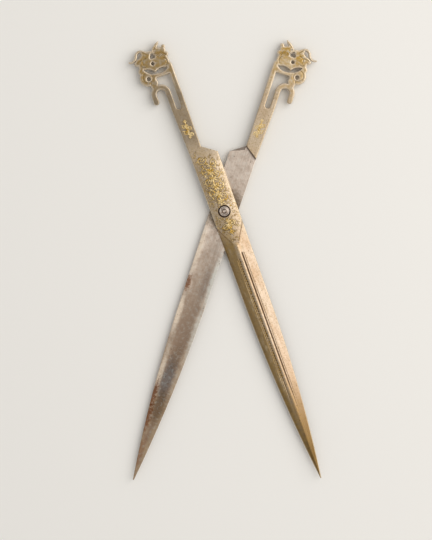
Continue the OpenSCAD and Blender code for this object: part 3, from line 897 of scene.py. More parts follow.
def tarnish_and_shade(s, y, body):
    """Share of tarnish and painted shade along a half: the front handle is painted darker than the rear one.
    """
    places = [s.bolster.shoulder, s.neck_y + 6, s.handle.slot_y, s.hook_y - 4, s.head_y, s.top_y]
    shares = {"front": [0, 0.56, 0.56, 0.78, 0.44, 0.3], "rear": [0, 0, 0, 0.06, 0, 0]}
    return np.interp(y, places, shares[body])


def half_mesh(s, plan, body, materials):
    """The mesh of a half: outer and inner face, and the walls between them along the border."""
    outer, inner, distance, cut, soil_and_shade = half_faces(s, plan)
    count = len(plan.points)
    own = np.vstack([np.column_stack([plan.points, outer]), np.column_stack([plan.points, inner])])
    walls = [(a, a + count, b + count, b) for a, b in border_edges(plan.triangles)]
    faces = plan.triangles.tolist() + (plan.triangles[:, ::-1] + count).tolist() + walls
    mesh = bpy.data.meshes.new(f"{body}_half_steel")
    mesh.from_pydata(to_row_frame(own, body).tolist(), [], faces)
    # The second material is for the inner face where it was ground on a wheel.
    middle = plan.points[plan.triangles].mean(axis=1)
    ground = (past_step(s, *middle.T) < 0) & (middle[:, 1] < s.neck_y)
    slots = np.concatenate([np.zeros(len(ground), int), ground.astype(int), np.zeros(len(walls), int)])
    for material in materials:
        mesh.materials.append(material)
    mesh.polygons.foreach_set("material_index", slots.astype(np.int32))
    set_attribute(mesh, "own", own)
    set_attribute(mesh, "rim", np.tile(np.clip(distance, 0, 6), 2))
    # On the inner face, cut holds dirt and painted shade along the step and on the bevel.
    set_attribute(mesh, "cut", np.concatenate([cut, soil_and_shade]))
    set_attribute(mesh, "gilt", np.tile(gilding_left(s, *plan.points.T, body), 2))
    # The front handle is painted darker than the rear one, as tarnish and painted shade.
    set_attribute(mesh, "dull", np.tile(tarnish_and_shade(s, plan.points[:, 1], body), 2))
    set_attribute(mesh, "laid", np.zeros(2 * count))
    smooth(mesh, 38)
    return mesh


# Meshes and pieces


def to_row_frame(points, body):
    """Points of the closed half, in millimetres, as places in the row frame, in metres."""
    lean = Matrix.Rotation(math.radians(OPEN_ANGLE / 2), 3, "Z")
    if body == "rear":
        lean = lean.inverted() @ Matrix.Rotation(math.pi, 3, "Y")
    return (np.asarray(points, float) @ np.array(lean).T + (0, 0, PIVOT_Z)) * MM


def set_attribute(mesh, name, values):
    """Stores a number or a vector on every point of a mesh."""
    vector = np.ndim(values) == 2
    attribute = mesh.attributes.new(name, "FLOAT_VECTOR" if vector else "FLOAT", "POINT")
    attribute.data.foreach_set("vector" if vector else "value", np.asarray(values, np.float32).ravel())


def smooth(mesh, angle):
    """Shades a mesh smooth but for edges sharper than an angle in degrees."""
    mesh.update()
    mesh.shade_smooth()
    mesh.set_sharp_from_angle(angle=math.radians(angle))


def mesh_points(mesh):
    """The points of a mesh as an array."""
    points = np.zeros(len(mesh.vertices) * 3, np.float32)
    mesh.vertices.foreach_get("co", points)
    return points.reshape(-1, 3).astype(float)


def add_piece(context, name, mesh, body, replaces=None):
    """Links a finished mesh as a piece that rides on a body and may stand for a CAD node."""
    piece = bpy.data.objects.new(name, mesh)
    context.scene.collection.objects.link(piece)
    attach(piece, body)
    if replaces:
        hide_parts(replaces)
    return piece


def outward(mesh, near=NEAR):
    """Merges points that are nearer than a distance and turns every face outwards."""
    made = bmesh.new()
    made.from_mesh(mesh)
    bmesh.ops.remove_doubles(made, verts=made.verts, dist=near)
    bmesh.ops.recalc_face_normals(made, faces=made.faces)
    made.to_mesh(mesh)
    made.free()
    return mesh


def turned(profile, segments, height):
    """Points and faces of a closed solid turned round Z from a profile that starts and ends on the axis.

    height is a function of radius, height and angle that says how far each point is lifted.
    """
    points, faces = [(0, 0, profile[0][1])], []
    rings = profile[1:-1]
    for radius, z in rings:
        for i in range(segments):
            angle = 2 * math.pi * i / segments
            lift = height(radius, z, angle)
            points.append((radius * math.cos(angle), radius * math.sin(angle), z + lift))
    points.append((0, 0, profile[-1][1]))
    last = len(points) - 1
    for i in range(segments):
        j = (i + 1) % segments
        faces.append((0, 1 + j, 1 + i))
        for n in range(len(rings) - 1):
            a, b = 1 + n * segments, 1 + (n + 1) * segments
            faces.append((a + i, a + j, b + j, b + i))
        a = 1 + (len(rings) - 1) * segments
        faces.append((a + i, a + j, last))
    return points, faces


# Geometry Nodes


def add(tree, kind, inputs=None, out=0, **settings):
    """Adds a node with its settings, sets or links its inputs, and returns one of its outputs."""
    node = tree.nodes.new(kind)
    for name, value in settings.items():
        setattr(node, name, value)
    for key, value in (inputs or {}).items():
        if isinstance(value, bpy.types.NodeSocket):
            tree.links.new(value, node.inputs[key])
        else:
            node.inputs[key].default_value = value
    return node.outputs[out] if node.outputs else node


def new_tree(name, sizes):
    """An empty tree with a named input for each size, and a dictionary of what these inputs give."""
    tree = bpy.data.node_groups.new(name, "GeometryNodeTree")
    tree.interface.new_socket("Geometry", in_out="INPUT", socket_type="NodeSocketGeometry")
    for title, value in sizes.items():
        kind = "NodeSocketInt" if isinstance(value, int) else "NodeSocketFloat"
        tree.interface.new_socket(title, in_out="INPUT", socket_type=kind).default_value = value
    tree.interface.new_socket("Material", in_out="INPUT", socket_type="NodeSocketMaterial")
    tree.interface.new_socket("Geometry", in_out="OUTPUT", socket_type="NodeSocketGeometry")
    given = tree.nodes.new("NodeGroupInput").outputs
    return tree, {socket.name: socket for socket in given if socket.name}


def close_tree(tree, parts, material):
    """Joins the parts, realizes them, gives them their material and ends the tree."""
    join = tree.nodes.new("GeometryNodeJoinGeometry")
    for part in parts:
        tree.links.new(part, join.inputs[0])
    real = add(tree, "GeometryNodeRealizeInstances", {0: join.outputs[0]})
    done = add(tree, "GeometryNodeSetMaterial", {"Geometry": real, "Material": material})
    add(tree, "NodeGroupOutput", {"Geometry": done})


def grown(context, name, tree, values, material, ground=None):
    """The plain mesh that a tree makes of its inputs, on top of a mesh of the ground where it needs one."""
    holder = bpy.data.objects.new(f"{name}_holder", ground or bpy.data.meshes.new(f"{name}_ground"))
    context.scene.collection.objects.link(holder)
    modifier = holder.modifiers.new("Nodes", "NODES")
    modifier.node_group = tree
    for item in tree.interface.items_tree:
        if item.in_out == "INPUT" and item.name in values:
            modifier[item.identifier] = values[item.name]
        if item.in_out == "INPUT" and item.name == "Material":
            modifier[item.identifier] = material
    context.view_layer.update()
    evaluated = holder.evaluated_get(context.evaluated_depsgraph_get())
    mesh = bpy.data.meshes.new_from_object(evaluated)
    mesh.name = name
    bpy.data.objects.remove(holder)
    return outward(mesh)


def gold_leaf(tree, leaf_length, leaf_width, thick):
    """A low leaf from the origin along X, widest near its foot."""
    ball = add(tree, "GeometryNodeMeshUVSphere", {"Segments": 8, "Rings": 4, "Radius": 0.5})
    ball = add(tree, "GeometryNodeTransform", {"Geometry": ball, "Translation": (0.5, 0, 0)})
    place = add(tree, "GeometryNodeInputPosition")
    split = add(tree, "ShaderNodeSeparateXYZ", {0: place}).node
    narrow = add(tree, "ShaderNodeMath", {0: 1.35, 1: split.outputs[0]}, operation="SUBTRACT")
    y = add(tree, "ShaderNodeMath", {0: split.outputs[1], 1: narrow}, operation="MULTIPLY")
    moved = add(tree, "ShaderNodeCombineXYZ", {0: split.outputs[0], 1: y, 2: split.outputs[2]})
    pointed = add(tree, "GeometryNodeSetPosition", {"Geometry": ball, "Position": moved})
    height = add(tree, "ShaderNodeMath", {0: thick, 1: 2.0}, operation="MULTIPLY")
    size = add(tree, "ShaderNodeCombineXYZ", {0: leaf_length, 1: leaf_width, 2: height})
    return add(tree, "GeometryNodeTransform", {"Geometry": pointed, "Scale": size})


def flat_wire(tree, curve, width, thick, start_share=1.0):
    """A low wire along a curve, thinner at its start by a share."""
    profile = add(tree, "GeometryNodeCurvePrimitiveCircle", {"Resolution": 6, "Radius": 0.5})
    share = add(tree, "GeometryNodeSplineParameter")
    scale = add(tree, "ShaderNodeMapRange", {"Value": share, "To Min": start_share, "To Max": 1.0})
    scale = add(tree, "ShaderNodeMath", {0: scale, 1: width}, operation="MULTIPLY")
    wire = add(
        tree, "GeometryNodeCurveToMesh",
        {"Curve": curve, "Profile Curve": profile, "Scale": scale, "Fill Caps": True},
    )
    flat = add(tree, "ShaderNodeMath", {0: thick, 1: width}, operation="DIVIDE")
    flat = add(tree, "ShaderNodeMath", {0: flat, 1: 2.0}, operation="MULTIPLY")
    size = add(tree, "ShaderNodeCombineXYZ", {0: 1.0, 1: 1.0, 2: flat})
    return add(tree, "GeometryNodeTransform", {"Geometry": wire, "Scale": size})


def spray_tree():
    """Scrolls to both sides of a line with leaves along them, and flowers up the middle."""
    tree, given = new_tree("Scroll spray", {
        "Rows": 4, "Step": 6.6, "Scroll radius": 2.35, "Wire": 0.34, "Thickness": 0.12,
        "Leaf length": 1.25, "Leaf width": 0.52, "Leaf step": 0.95, "Flower radius": 1.75,
        "Petals": 6, "Flowers": 5, "Flower step": 4.6, "Start": 6.0, "Seed": 3,
    })
    radius, step = given["Scroll radius"], given["Step"]
    eye = add(tree, "ShaderNodeMath", {0: radius, 1: 0.16}, operation="MULTIPLY")
    spiral = add(tree, "GeometryNodeCurveSpiral", {
        "Resolution": 20, "Rotations": 1.5, "Start Radius": eye, "End Radius": radius, "Height": 0.0,
    })
    foot = add(tree, "ShaderNodeMath", {0: given["Start"], 1: radius}, operation="ADD")
    first = add(tree, "ShaderNodeCombineXYZ", {0: radius, 1: foot})
    along_step = add(tree, "ShaderNodeCombineXYZ", {1: step})
    rows = add(tree, "GeometryNodeMeshLine", {
        "Count": given["Rows"], "Start Location": first, "Offset": along_step,
    })
    right = add(tree, "GeometryNodeInstanceOnPoints", {"Points": rows, "Instance": spiral})
    half_step = add(tree, "ShaderNodeMath", {0: step, 1: 0.5}, operation="MULTIPLY")
    shift = add(tree, "ShaderNodeCombineXYZ", {1: half_step})
    left = add(tree, "GeometryNodeTransform", {
        "Geometry": right, "Translation": shift, "Scale": (-1, 1, 1),
    })
    join = tree.nodes.new("GeometryNodeJoinGeometry")
    tree.links.new(right, join.inputs[0])
    tree.links.new(left, join.inputs[0])
    scrolls = add(tree, "GeometryNodeRealizeInstances", {0: join.outputs[0]})
    wires = flat_wire(tree, scrolls, given["Wire"], given["Thickness"], 0.7)
    beads = add(tree, "GeometryNodeResampleCurve", {
        "Curve": scrolls, "Length": given["Leaf step"],
    }, mode="LENGTH")
    tangent = add(tree, "GeometryNodeInputTangent")
    facing = add(tree, "FunctionNodeAlignRotationToVector", {"Vector": tangent}, axis="X", pivot_axis="Z")
    index = add(tree, "GeometryNodeInputIndex")
    odd = add(tree, "ShaderNodeMath", {0: index, 1: 2.0}, operation="MODULO")
    turn = add(tree, "ShaderNodeMapRange", {"Value": odd, "To Min": -0.85, "To Max": 0.85})
    turn = add(tree, "ShaderNodeCombineXYZ", {2: turn})
    turn = add(tree, "FunctionNodeEulerToRotation", {0: turn})
    facing = add(tree, "FunctionNodeRotateRotation", {0: facing, 1: turn}, rotation_space="LOCAL")
    blade = gold_leaf(tree, given["Leaf length"], given["Leaf width"], given["Thickness"])
    sizes = add(tree, "FunctionNodeRandomValue", {2: 0.6, 3: 1.15, "Seed": given["Seed"]}, out=1)
    leaves = add(tree, "GeometryNodeInstanceOnPoints", {
        "Points": beads, "Instance": blade, "Rotation": facing, "Scale": sizes,
    })
    flower = flower_part(tree, given)
    middle_start = add(tree, "ShaderNodeCombineXYZ", {1: given["Start"]})
    middle_step = add(tree, "ShaderNodeCombineXYZ", {1: given["Flower step"]})
    middle = add(tree, "GeometryNodeMeshLine", {
        "Count": given["Flowers"], "Start Location": middle_start, "Offset": middle_step,
    })
    spin = add(tree, "FunctionNodeRandomValue", {3: 6.28, "Seed": given["Seed"]}, out=1)
    spin = add(tree, "ShaderNodeCombineXYZ", {2: spin})
    spin = add(tree, "FunctionNodeEulerToRotation", {0: spin})
    grow = add(tree, "FunctionNodeRandomValue", {2: 0.7, 3: 1.15, "Seed": given["Seed"]}, out=1)
    flowers = add(tree, "GeometryNodeInstanceOnPoints", {
        "Points": middle, "Instance": flower, "Rotation": spin, "Scale": grow,
    })
    stem_end = add(tree, "ShaderNodeMath", {0: given["Flowers"], 1: 0.8}, operation="SUBTRACT")
    stem_end = add(tree, "ShaderNodeMath", {
        0: stem_end, 1: given["Flower step"], 2: given["Start"],
    }, operation="MULTIPLY_ADD")
    stem_end = add(tree, "ShaderNodeCombineXYZ", {1: stem_end})
    stem = add(tree, "GeometryNodeCurvePrimitiveLine", {"Start": middle_start, "End": stem_end})
    stem = flat_wire(tree, stem, given["Wire"], given["Thickness"])
    close_tree(tree, [wires, leaves, flowers, stem], given["Material"])
    return tree


def flower_part(tree, given):
    """A flower of petals round a boss."""
    radius = given["Flower radius"]
    inner = add(tree, "ShaderNodeMath", {0: radius, 1: 0.2}, operation="MULTIPLY")
    ring = add(tree, "GeometryNodeMeshCircle", {"Vertices": given["Petals"], "Radius": inner})
    place = add(tree, "GeometryNodeInputPosition")
    facing = add(tree, "FunctionNodeAlignRotationToVector", {"Vector": place}, axis="X", pivot_axis="Z")
    petal_l = add(tree, "ShaderNodeMath", {0: radius, 1: 0.8}, operation="MULTIPLY")
    petal_w = add(tree, "ShaderNodeMath", {0: radius, 1: 0.46}, operation="MULTIPLY")
    petal = gold_leaf(tree, petal_l, petal_w, given["Thickness"])
    petals = add(tree, "GeometryNodeInstanceOnPoints", {
        "Points": ring, "Instance": petal, "Rotation": facing,
    })
    boss = add(tree, "GeometryNodeMeshUVSphere", {"Segments": 10, "Rings": 5, "Radius": inner})
    boss = add(tree, "GeometryNodeTransform", {"Geometry": boss, "Scale": (1, 1, 0.55)})
    join = tree.nodes.new("GeometryNodeJoinGeometry")
    tree.links.new(petals, join.inputs[0])
    tree.links.new(boss, join.inputs[0])
    return join.outputs[0]


def dust_tree():
    """Fine curls and leaves strewn over a ground, no two nearer than a distance."""
    tree, given = new_tree("Fine strokes", {
        "Distance": 1.0, "Wire": 0.2, "Thickness": 0.12, "Curl": 0.5, "Leaf length": 0.9,
        "Leaf width": 0.34, "Seed": 11,
    })
    parts = []
    place = add(tree, "GeometryNodeInputPosition")
    drift = add(tree, "ShaderNodeTexNoise", {"Vector": place, "Scale": 0.22})
    share = add(tree, "ShaderNodeMapRange", {
        "Value": drift, "From Min": 0.4, "From Max": 0.6, "To Min": 0.3,
    })
    curve = add(tree, "GeometryNodeCurveArc", {
        "Resolution": 8, "Radius": given["Curl"], "Start Angle": 0.0, "Sweep Angle": 3.6,
    }, mode="RADIUS")
    curl = flat_wire(tree, curve, given["Wire"], given["Thickness"], 0.5)
    stroke = gold_leaf(tree, given["Leaf length"], given["Leaf width"], given["Thickness"])
    for n, shape in enumerate((curl, stroke)):
        seed = add(tree, "ShaderNodeMath", {0: given["Seed"], 1: float(n)}, operation="ADD")
        points = add(tree, "GeometryNodeDistributePointsOnFaces", {
            "Mesh": given["Geometry"], "Distance Min": given["Distance"], "Density Max": 3.0,
            "Density Factor": share, "Seed": seed,
        }, distribute_method="POISSON")
        spin = add(tree, "FunctionNodeRandomValue", {3: 6.28, "Seed": seed}, out=1)
        spin = add(tree, "ShaderNodeCombineXYZ", {2: spin})
        spin = add(tree, "FunctionNodeEulerToRotation", {0: spin})
        grow = add(tree, "FunctionNodeRandomValue", {2: 0.6, 3: 1.2, "Seed": seed}, out=1)
        parts.append(add(tree, "GeometryNodeInstanceOnPoints", {
            "Points": points, "Instance": shape, "Rotation": spin, "Scale": grow,
        }))
    close_tree(tree, parts, given["Material"])
    return tree


def rope_tree():
    """Slanting beads along a line, like the turns of a rope.

    The real rope has a turn each 1.1 mm or so. That is too fine to show, so its turns are drawn larger.
    """
    tree, given = new_tree("Rope moulding", {
        "Length": 70.0, "Pitch": 1.5, "Bead length": 1.6, "Bead width": 0.62, "Thickness": 0.17,
        "Slant": 0.7,
    })
    count = add(tree, "ShaderNodeMath", {0: given["Length"], 1: given["Pitch"]}, operation="DIVIDE")
    step = add(tree, "ShaderNodeMath", {0: given["Pitch"], 1: -1.0}, operation="MULTIPLY")
    step = add(tree, "ShaderNodeCombineXYZ", {1: step})
    line = add(tree, "GeometryNodeMeshLine", {"Count": count, "Offset": step})
    ball = add(tree, "GeometryNodeMeshUVSphere", {"Segments": 8, "Rings": 5, "Radius": 0.5})
    high = add(tree, "ShaderNodeMath", {0: given["Thickness"], 1: 2.0}, operation="MULTIPLY")
    size = add(tree, "ShaderNodeCombineXYZ", {0: given["Bead length"], 1: given["Bead width"], 2: high})
    turn = add(tree, "ShaderNodeCombineXYZ", {2: given["Slant"]})
    bead = add(tree, "GeometryNodeTransform", {"Geometry": ball, "Scale": size})
    bead = add(tree, "GeometryNodeTransform", {"Geometry": bead, "Rotation": turn})
    beads = add(tree, "GeometryNodeInstanceOnPoints", {"Points": line, "Instance": bead})
    close_tree(tree, [beads], given["Material"])
    return tree


# Finishes


def new_material(name):
    """A material with an empty Principled shader, its tree and that shader."""
    material = bpy.data.materials.new(name)
    material.use_nodes = True
    tree = material.node_tree
    tree.nodes.clear()
    shader = tree.nodes.new("ShaderNodeBsdfPrincipled")
    add(tree, "ShaderNodeOutputMaterial", {"Surface": shader.outputs[0]})
    return material, tree, shader


def shared(name, build, *values):
    """The material of that name, built the first time that it is asked for."""
    return bpy.data.materials.get(name) or build(name, *values)


def worn_gilt_steel(name, c):
    """Forged steel, once fire gilded: pale where it is rubbed, olive brown where patina lies in the hollows.
    Its edges carry painted highlights, and the facet toward the cutting edge carries painted shade.

    It was filed along its length. The strokes are 0.4 mm wide here, because a file's own don't show.
    """
    material, tree, shader = new_material(name)
    own = add(tree, "ShaderNodeAttribute", attribute_name="own", out=1)
    axes = add(tree, "ShaderNodeSeparateXYZ", {0: own}).node
    x, y = axes.outputs[0], axes.outputs[1]
    rim, cut, gilt, dull, laid = (
        add(tree, "ShaderNodeAttribute", attribute_name=attribute, out=2)
        for attribute in ("rim", "cut", "gilt", "dull", "laid")
    )
    clouds = add(tree, "ShaderNodeTexNoise", {"Vector": own, "Scale": 1 / 9, "Detail": 4.0, "Roughness": 0.6})
    flecks = add(tree, "ShaderNodeTexNoise", {
        "Vector": own, "Scale": 1 / 1.7, "Detail": 4.0, "Roughness": 0.7,
    })
    drawn = add(tree, "ShaderNodeMapping", {"Vector": own, "Scale": (1 / 0.4, 1 / 14, 1 / 0.4)})
    strokes = add(tree, "ShaderNodeTexNoise", {"Vector": drawn, "Scale": 1.0, "Detail": 3.0})
    lengthwise = add(tree, "ShaderNodeMapping", {"Vector": own, "Scale": (1 / 4, 1 / 15, 1 / 4)})
    stain = add(tree, "ShaderNodeTexNoise", {
        "Vector": lengthwise, "Scale": 1.0, "Detail": 6.0, "Roughness": 0.7,
    })
    grain = add(tree, "ShaderNodeTexNoise", {"Vector": own, "Scale": 1 / 0.8, "Detail": 2.0})
    cells = add(tree, "ShaderNodeTexVoronoi", {"Vector": own, "Scale": 1 / 2.6})
    # A layer's share goes from least to most while a value goes from start to end.
    share = {"gilt": gilt, "dull": dull, "laid": laid}
    for layer, value, start, end, least, most in (
        ("cloudy", clouds, 0.4, 0.64, 0, 0.55),
        ("rosy", y, 88, 74, 0, 0.5),                # from the heads down
        ("blade", y, -8, -20, 0, 1),
        # olive patina and painted shade: this facet faces away from the light
        ("left", x, -0.4, -2, 0, 0.8),              # the facet on the cutting edge's side
        ("mottled", stain, 0.5, 0.6, 0, 0.6),
        ("shaded", rim, 2.6, 0.4, 0, 0.75),
        ("right", x, -0.4, 1.4, 0, 0.8),            # the facet on the spine's side
        ("down", y, -70, -135, 0, 1),
        ("stained", stain, 0.46, 0.64, 0, 0.6),
        ("dusky", y, -100, -150, 0, 0.92),          # the tip turns olive, with brown over it
        ("brown", y, -100, -145, 0, 0.7),
        ("patchy", flecks, 0.4, 0.54, 0, 1),
        ("unrubbed", x, 0.5, 5, 1, 0.1),            # gilding is rubbed off most on the right
        ("streak", strokes, 0.35, 0.7, 0, 0.3),
        ("specks", grain, 0.5, 0.68, 0, 0.4),
        ("handled", rim, 1.1, 0.3, 0, 0.7),         # painted highlight along the heads' edges
        ("head", y, 72, 80, 0, 1),
        # painted highlight along every edge, where the steel is also worn pale
        ("bare_and_highlight", rim, 0.05, 0.45, 0.85, 0),
        # dirt in grooves and chased lines; on the inner face also painted shade beside the step
        ("filled", cut, 0.1, 0.9, 0, 0.92),
        ("kept", flecks, 0.3, 0.5, 0, 1),           # soil beside the gold stays in flecks, off the edges
        ("off_edge", rim, 0.8, 3, 0.2, 1),
        ("pits", cells, 0.05, 0.12, 0.75, 0),
    ):
        share[layer] = add(tree, "ShaderNodeMapRange", {
            "Value": value, "From Min": start, "From Max": end, "To Min": least, "To Max": most,
        })
    for layer, other in (
        ("left", "blade"), ("right", "blade"), ("mottled", "left"), ("shaded", "left"), ("patchy", "gilt"),
        ("patchy", "unrubbed"), ("handled", "head"), ("laid", "kept"), ("laid", "off_edge"),
    ):
        share[layer] = add(tree, "ShaderNodeMath", {0: share[layer], 1: share[other]}, operation="MULTIPLY")
    tanned = add(tree, "ShaderNodeMath", {0: share["down"], 1: share["stained"]}, operation="MAXIMUM")
    warm = add(tree, "ShaderNodeMix", {0: tanned, 6: c.rose, 7: c.tanned}, out=2, data_type="RGBA")
    paint = c.worn
    # Among these layers, the olive facet, the strip along the cutting edge and the step are painted shade,
    # the front handle's tarnish is partly painted shade, and the edges and the heads' rims are painted
    # highlights.
    for layer, tint in (
        ("cloudy", c.patina), ("rosy", c.rose), ("left", c.olive), ("mottled", c.worn), ("shaded", c.soil_and_shade),
        ("right", warm), ("dusky", c.olive), ("brown", c.soil_and_shade), ("patchy", c.gilding), ("streak", c.patina),
        ("specks", c.olive), ("dull", c.tarnish), ("handled", c.clean), ("bare_and_highlight", c.worn),
        ("filled", c.dirt), ("laid", c.soil_and_shade), ("pits", c.dirt),
    ):
        paint = add(tree, "ShaderNodeMix", {0: share[layer], 6: paint, 7: tint}, out=2, data_type="RGBA")
    tree.links.new(paint, shader.inputs["Base Color"])
    shader.inputs["Metallic"].default_value = 1.0
    rough = add(tree, "ShaderNodeMapRange", {"Value": flecks, "To Min": 0.3, "To Max": 0.55})
    tree.links.new(rough, shader.inputs["Roughness"])
    relief = add(tree, "ShaderNodeMath", {0: strokes, 1: flecks}, operation="ADD")
    bump = add(tree, "ShaderNodeBump", {"Height": relief, "Strength": 0.5, "Distance": 0.04 * MM})
    tree.links.new(bump, shader.inputs["Normal"])
    return material


def ground_steel(name, c, patches):
    """Bare steel ground hollow on a wheel: grey, smoky in the hollow, with rust and old oil in patches.
    Patches also hold painted shade round the pivot, painted sheen along the cutting edge and painted
    highlights along the spine.

    The wheel left strokes along the blade. They are 0.5 mm wide here, because real ones don't show.
    """
    material, tree, shader = new_material(name)
    own = add(tree, "ShaderNodeAttribute", attribute_name="own", out=1)
    y = add(tree, "ShaderNodeSeparateXYZ", {0: own}, out=1)
    rim = add(tree, "ShaderNodeAttribute", attribute_name="rim", out=2)
    cut = add(tree, "ShaderNodeAttribute", attribute_name="cut", out=2)
    clouds = add(tree, "ShaderNodeTexNoise", {"Vector": own, "Scale": 1 / 7, "Detail": 4.0, "Roughness": 0.6})
    flecks = add(tree, "ShaderNodeTexNoise", {
        "Vector": own, "Scale": 1 / 1.5, "Detail": 4.0, "Roughness": 0.7,
    })
    drawn = add(tree, "ShaderNodeMapping", {"Vector": own, "Scale": (1 / 0.5, 1 / 22, 1 / 0.5)})
    strokes = add(tree, "ShaderNodeTexNoise", {"Vector": drawn, "Scale": 1.0, "Detail": 3.0})
    grain = add(tree, "ShaderNodeTexNoise", {
        "Vector": own, "Scale": 1 / 2.2, "Detail": 6.0, "Roughness": 0.7,
    })
    cells = add(tree, "ShaderNodeTexVoronoi", {"Vector": own, "Scale": 1 / 3.4})
    inward = add(tree, "ShaderNodeMath", {0: clouds, 1: 4.0, 2: -2.0}, operation="MULTIPLY_ADD")
    inward = add(tree, "ShaderNodeMath", {0: rim, 1: inward}, operation="ADD")
    # A layer's share goes from least to most while a value goes from start to end.
    share = {}
    for layer, value, start, end, least, most in (
        ("aged", y, -12, -125, 0, 1),
        ("smoky", inward, 1.5, 3.8, 0, 1),          # well inside the edges
        ("down", y, -10, -70, 0.1, 0.85),
        ("cloudy", clouds, 0.45, 0.66, 0, 0.4),
        ("streak", strokes, 0.4, 0.75, 0, 0.35),
        ("pale", grain, 0.5, 0.75, 0, 0.35),
        ("dark", grain, 0.5, 0.3, 0, 0.5),
        ("pits", cells, 0.05, 0.11, 0.8, 0),
    ):
        share[layer] = add(tree, "ShaderNodeMapRange", {
            "Value": value, "From Min": start, "From Max": end, "To Min": least, "To Max": most,
        })
    smoky = add(tree, "ShaderNodeMath", {0: share["smoky"], 1: share["down"]}, operation="MULTIPLY")
    paint = c.ground
    for part, tint in (
        (share["aged"], c.aged), (smoky, c.smoke_and_shade), (share["cloudy"], c.smoke_and_shade), (share["streak"], c.smoke_and_shade),
    ):
        paint = add(tree, "ShaderNodeMix", {0: part, 6: paint, 7: tint}, out=2, data_type="RGBA")
    rough = add(tree, "ShaderNodeMapRange", {"Value": flecks, "To Min": 0.3, "To Max": 0.5})
    for tint, patch_x, patch_y, wide, long, strength, torn in patches:
        local = add(tree, "ShaderNodeMapping", {
            "Vector": own, "Location": (patch_x, patch_y, 0), "Scale": (wide, long, 100),
        }, vector_type="TEXTURE")
        away = add(tree, "ShaderNodeVectorMath", {0: local}, out=1, operation="LENGTH")
        ragged = add(tree, "ShaderNodeMath", {0: flecks, 1: -0.5}, operation="ADD")
        away = add(tree, "ShaderNodeMath", {0: ragged, 1: torn, 2: away}, operation="MULTIPLY_ADD")
        patch = add(tree, "ShaderNodeMapRange", {
            "Value": away, "From Min": 0.5, "From Max": 1.2, "To Min": strength, "To Max": 0.0,
        })
        tint = getattr(c, tint)
        paint = add(tree, "ShaderNodeMix", {0: patch, 6: paint, 7: tint}, out=2, data_type="RGBA")
        rough = add(tree, "ShaderNodeMath", {0: patch, 1: 0.25, 2: rough}, operation="MULTIPLY_ADD")
    # Dirt in the chased lines, and painted shade on the shoulder's bevel and along the step.
    filled = add(tree, "ShaderNodeMath", {0: cut, 1: 0.9}, operation="MULTIPLY")
    for part, tint in (
        (share["pale"], c.frost_and_sheen), (share["dark"], c.smoke_and_shade), (share["pits"], c.dirt), (filled, c.dirt),
    ):
        paint = add(tree, "ShaderNodeMix", {0: part, 6: paint, 7: tint}, out=2, data_type="RGBA")
    tree.links.new(paint, shader.inputs["Base Color"])
    shader.inputs["Metallic"].default_value = 1.0
    tree.links.new(rough, shader.inputs["Roughness"])
    bump = add(tree, "ShaderNodeBump", {"Height": strokes, "Strength": 0.35, "Distance": 0.03 * MM})
    tree.links.new(bump, shader.inputs["Normal"])
    return material


def laid_gold(name, c):
    """High carat gold beaten onto hatched steel: soft and bright, rubbed thin in places.

    Its grain is 0.35 mm wide here, because that of real hatching doesn't show.
    """
    material, tree, shader = new_material(name)
    place = add(tree, "ShaderNodeTexCoord", out=3)
    wear = add(tree, "ShaderNodeTexNoise", {"Vector": place, "Scale": 1 / (2.4 * MM), "Detail": 3.0})
    grain = add(tree, "ShaderNodeTexNoise", {"Vector": place, "Scale": 1 / (0.35 * MM), "Detail": 2.0})
    thin = add(tree, "ShaderNodeMapRange", {"Value": wear, "From Min": 0.36, "From Max": 0.56})
    paint = add(tree, "ShaderNodeMix", {0: thin, 6: c.gold, 7: c.pale_gold}, out=2, data_type="RGBA")
    tree.links.new(paint, shader.inputs["Base Color"])
    shader.inputs["Metallic"].default_value = 1.0
    rough = add(tree, "ShaderNodeMapRange", {"Value": grain, "To Min": 0.34, "To Max": 0.52})
    tree.links.new(rough, shader.inputs["Roughness"])
    bump = add(tree, "ShaderNodeBump", {"Height": grain, "Strength": 0.5, "Distance": 0.05 * MM})
    tree.links.new(bump, shader.inputs["Normal"])
    return material


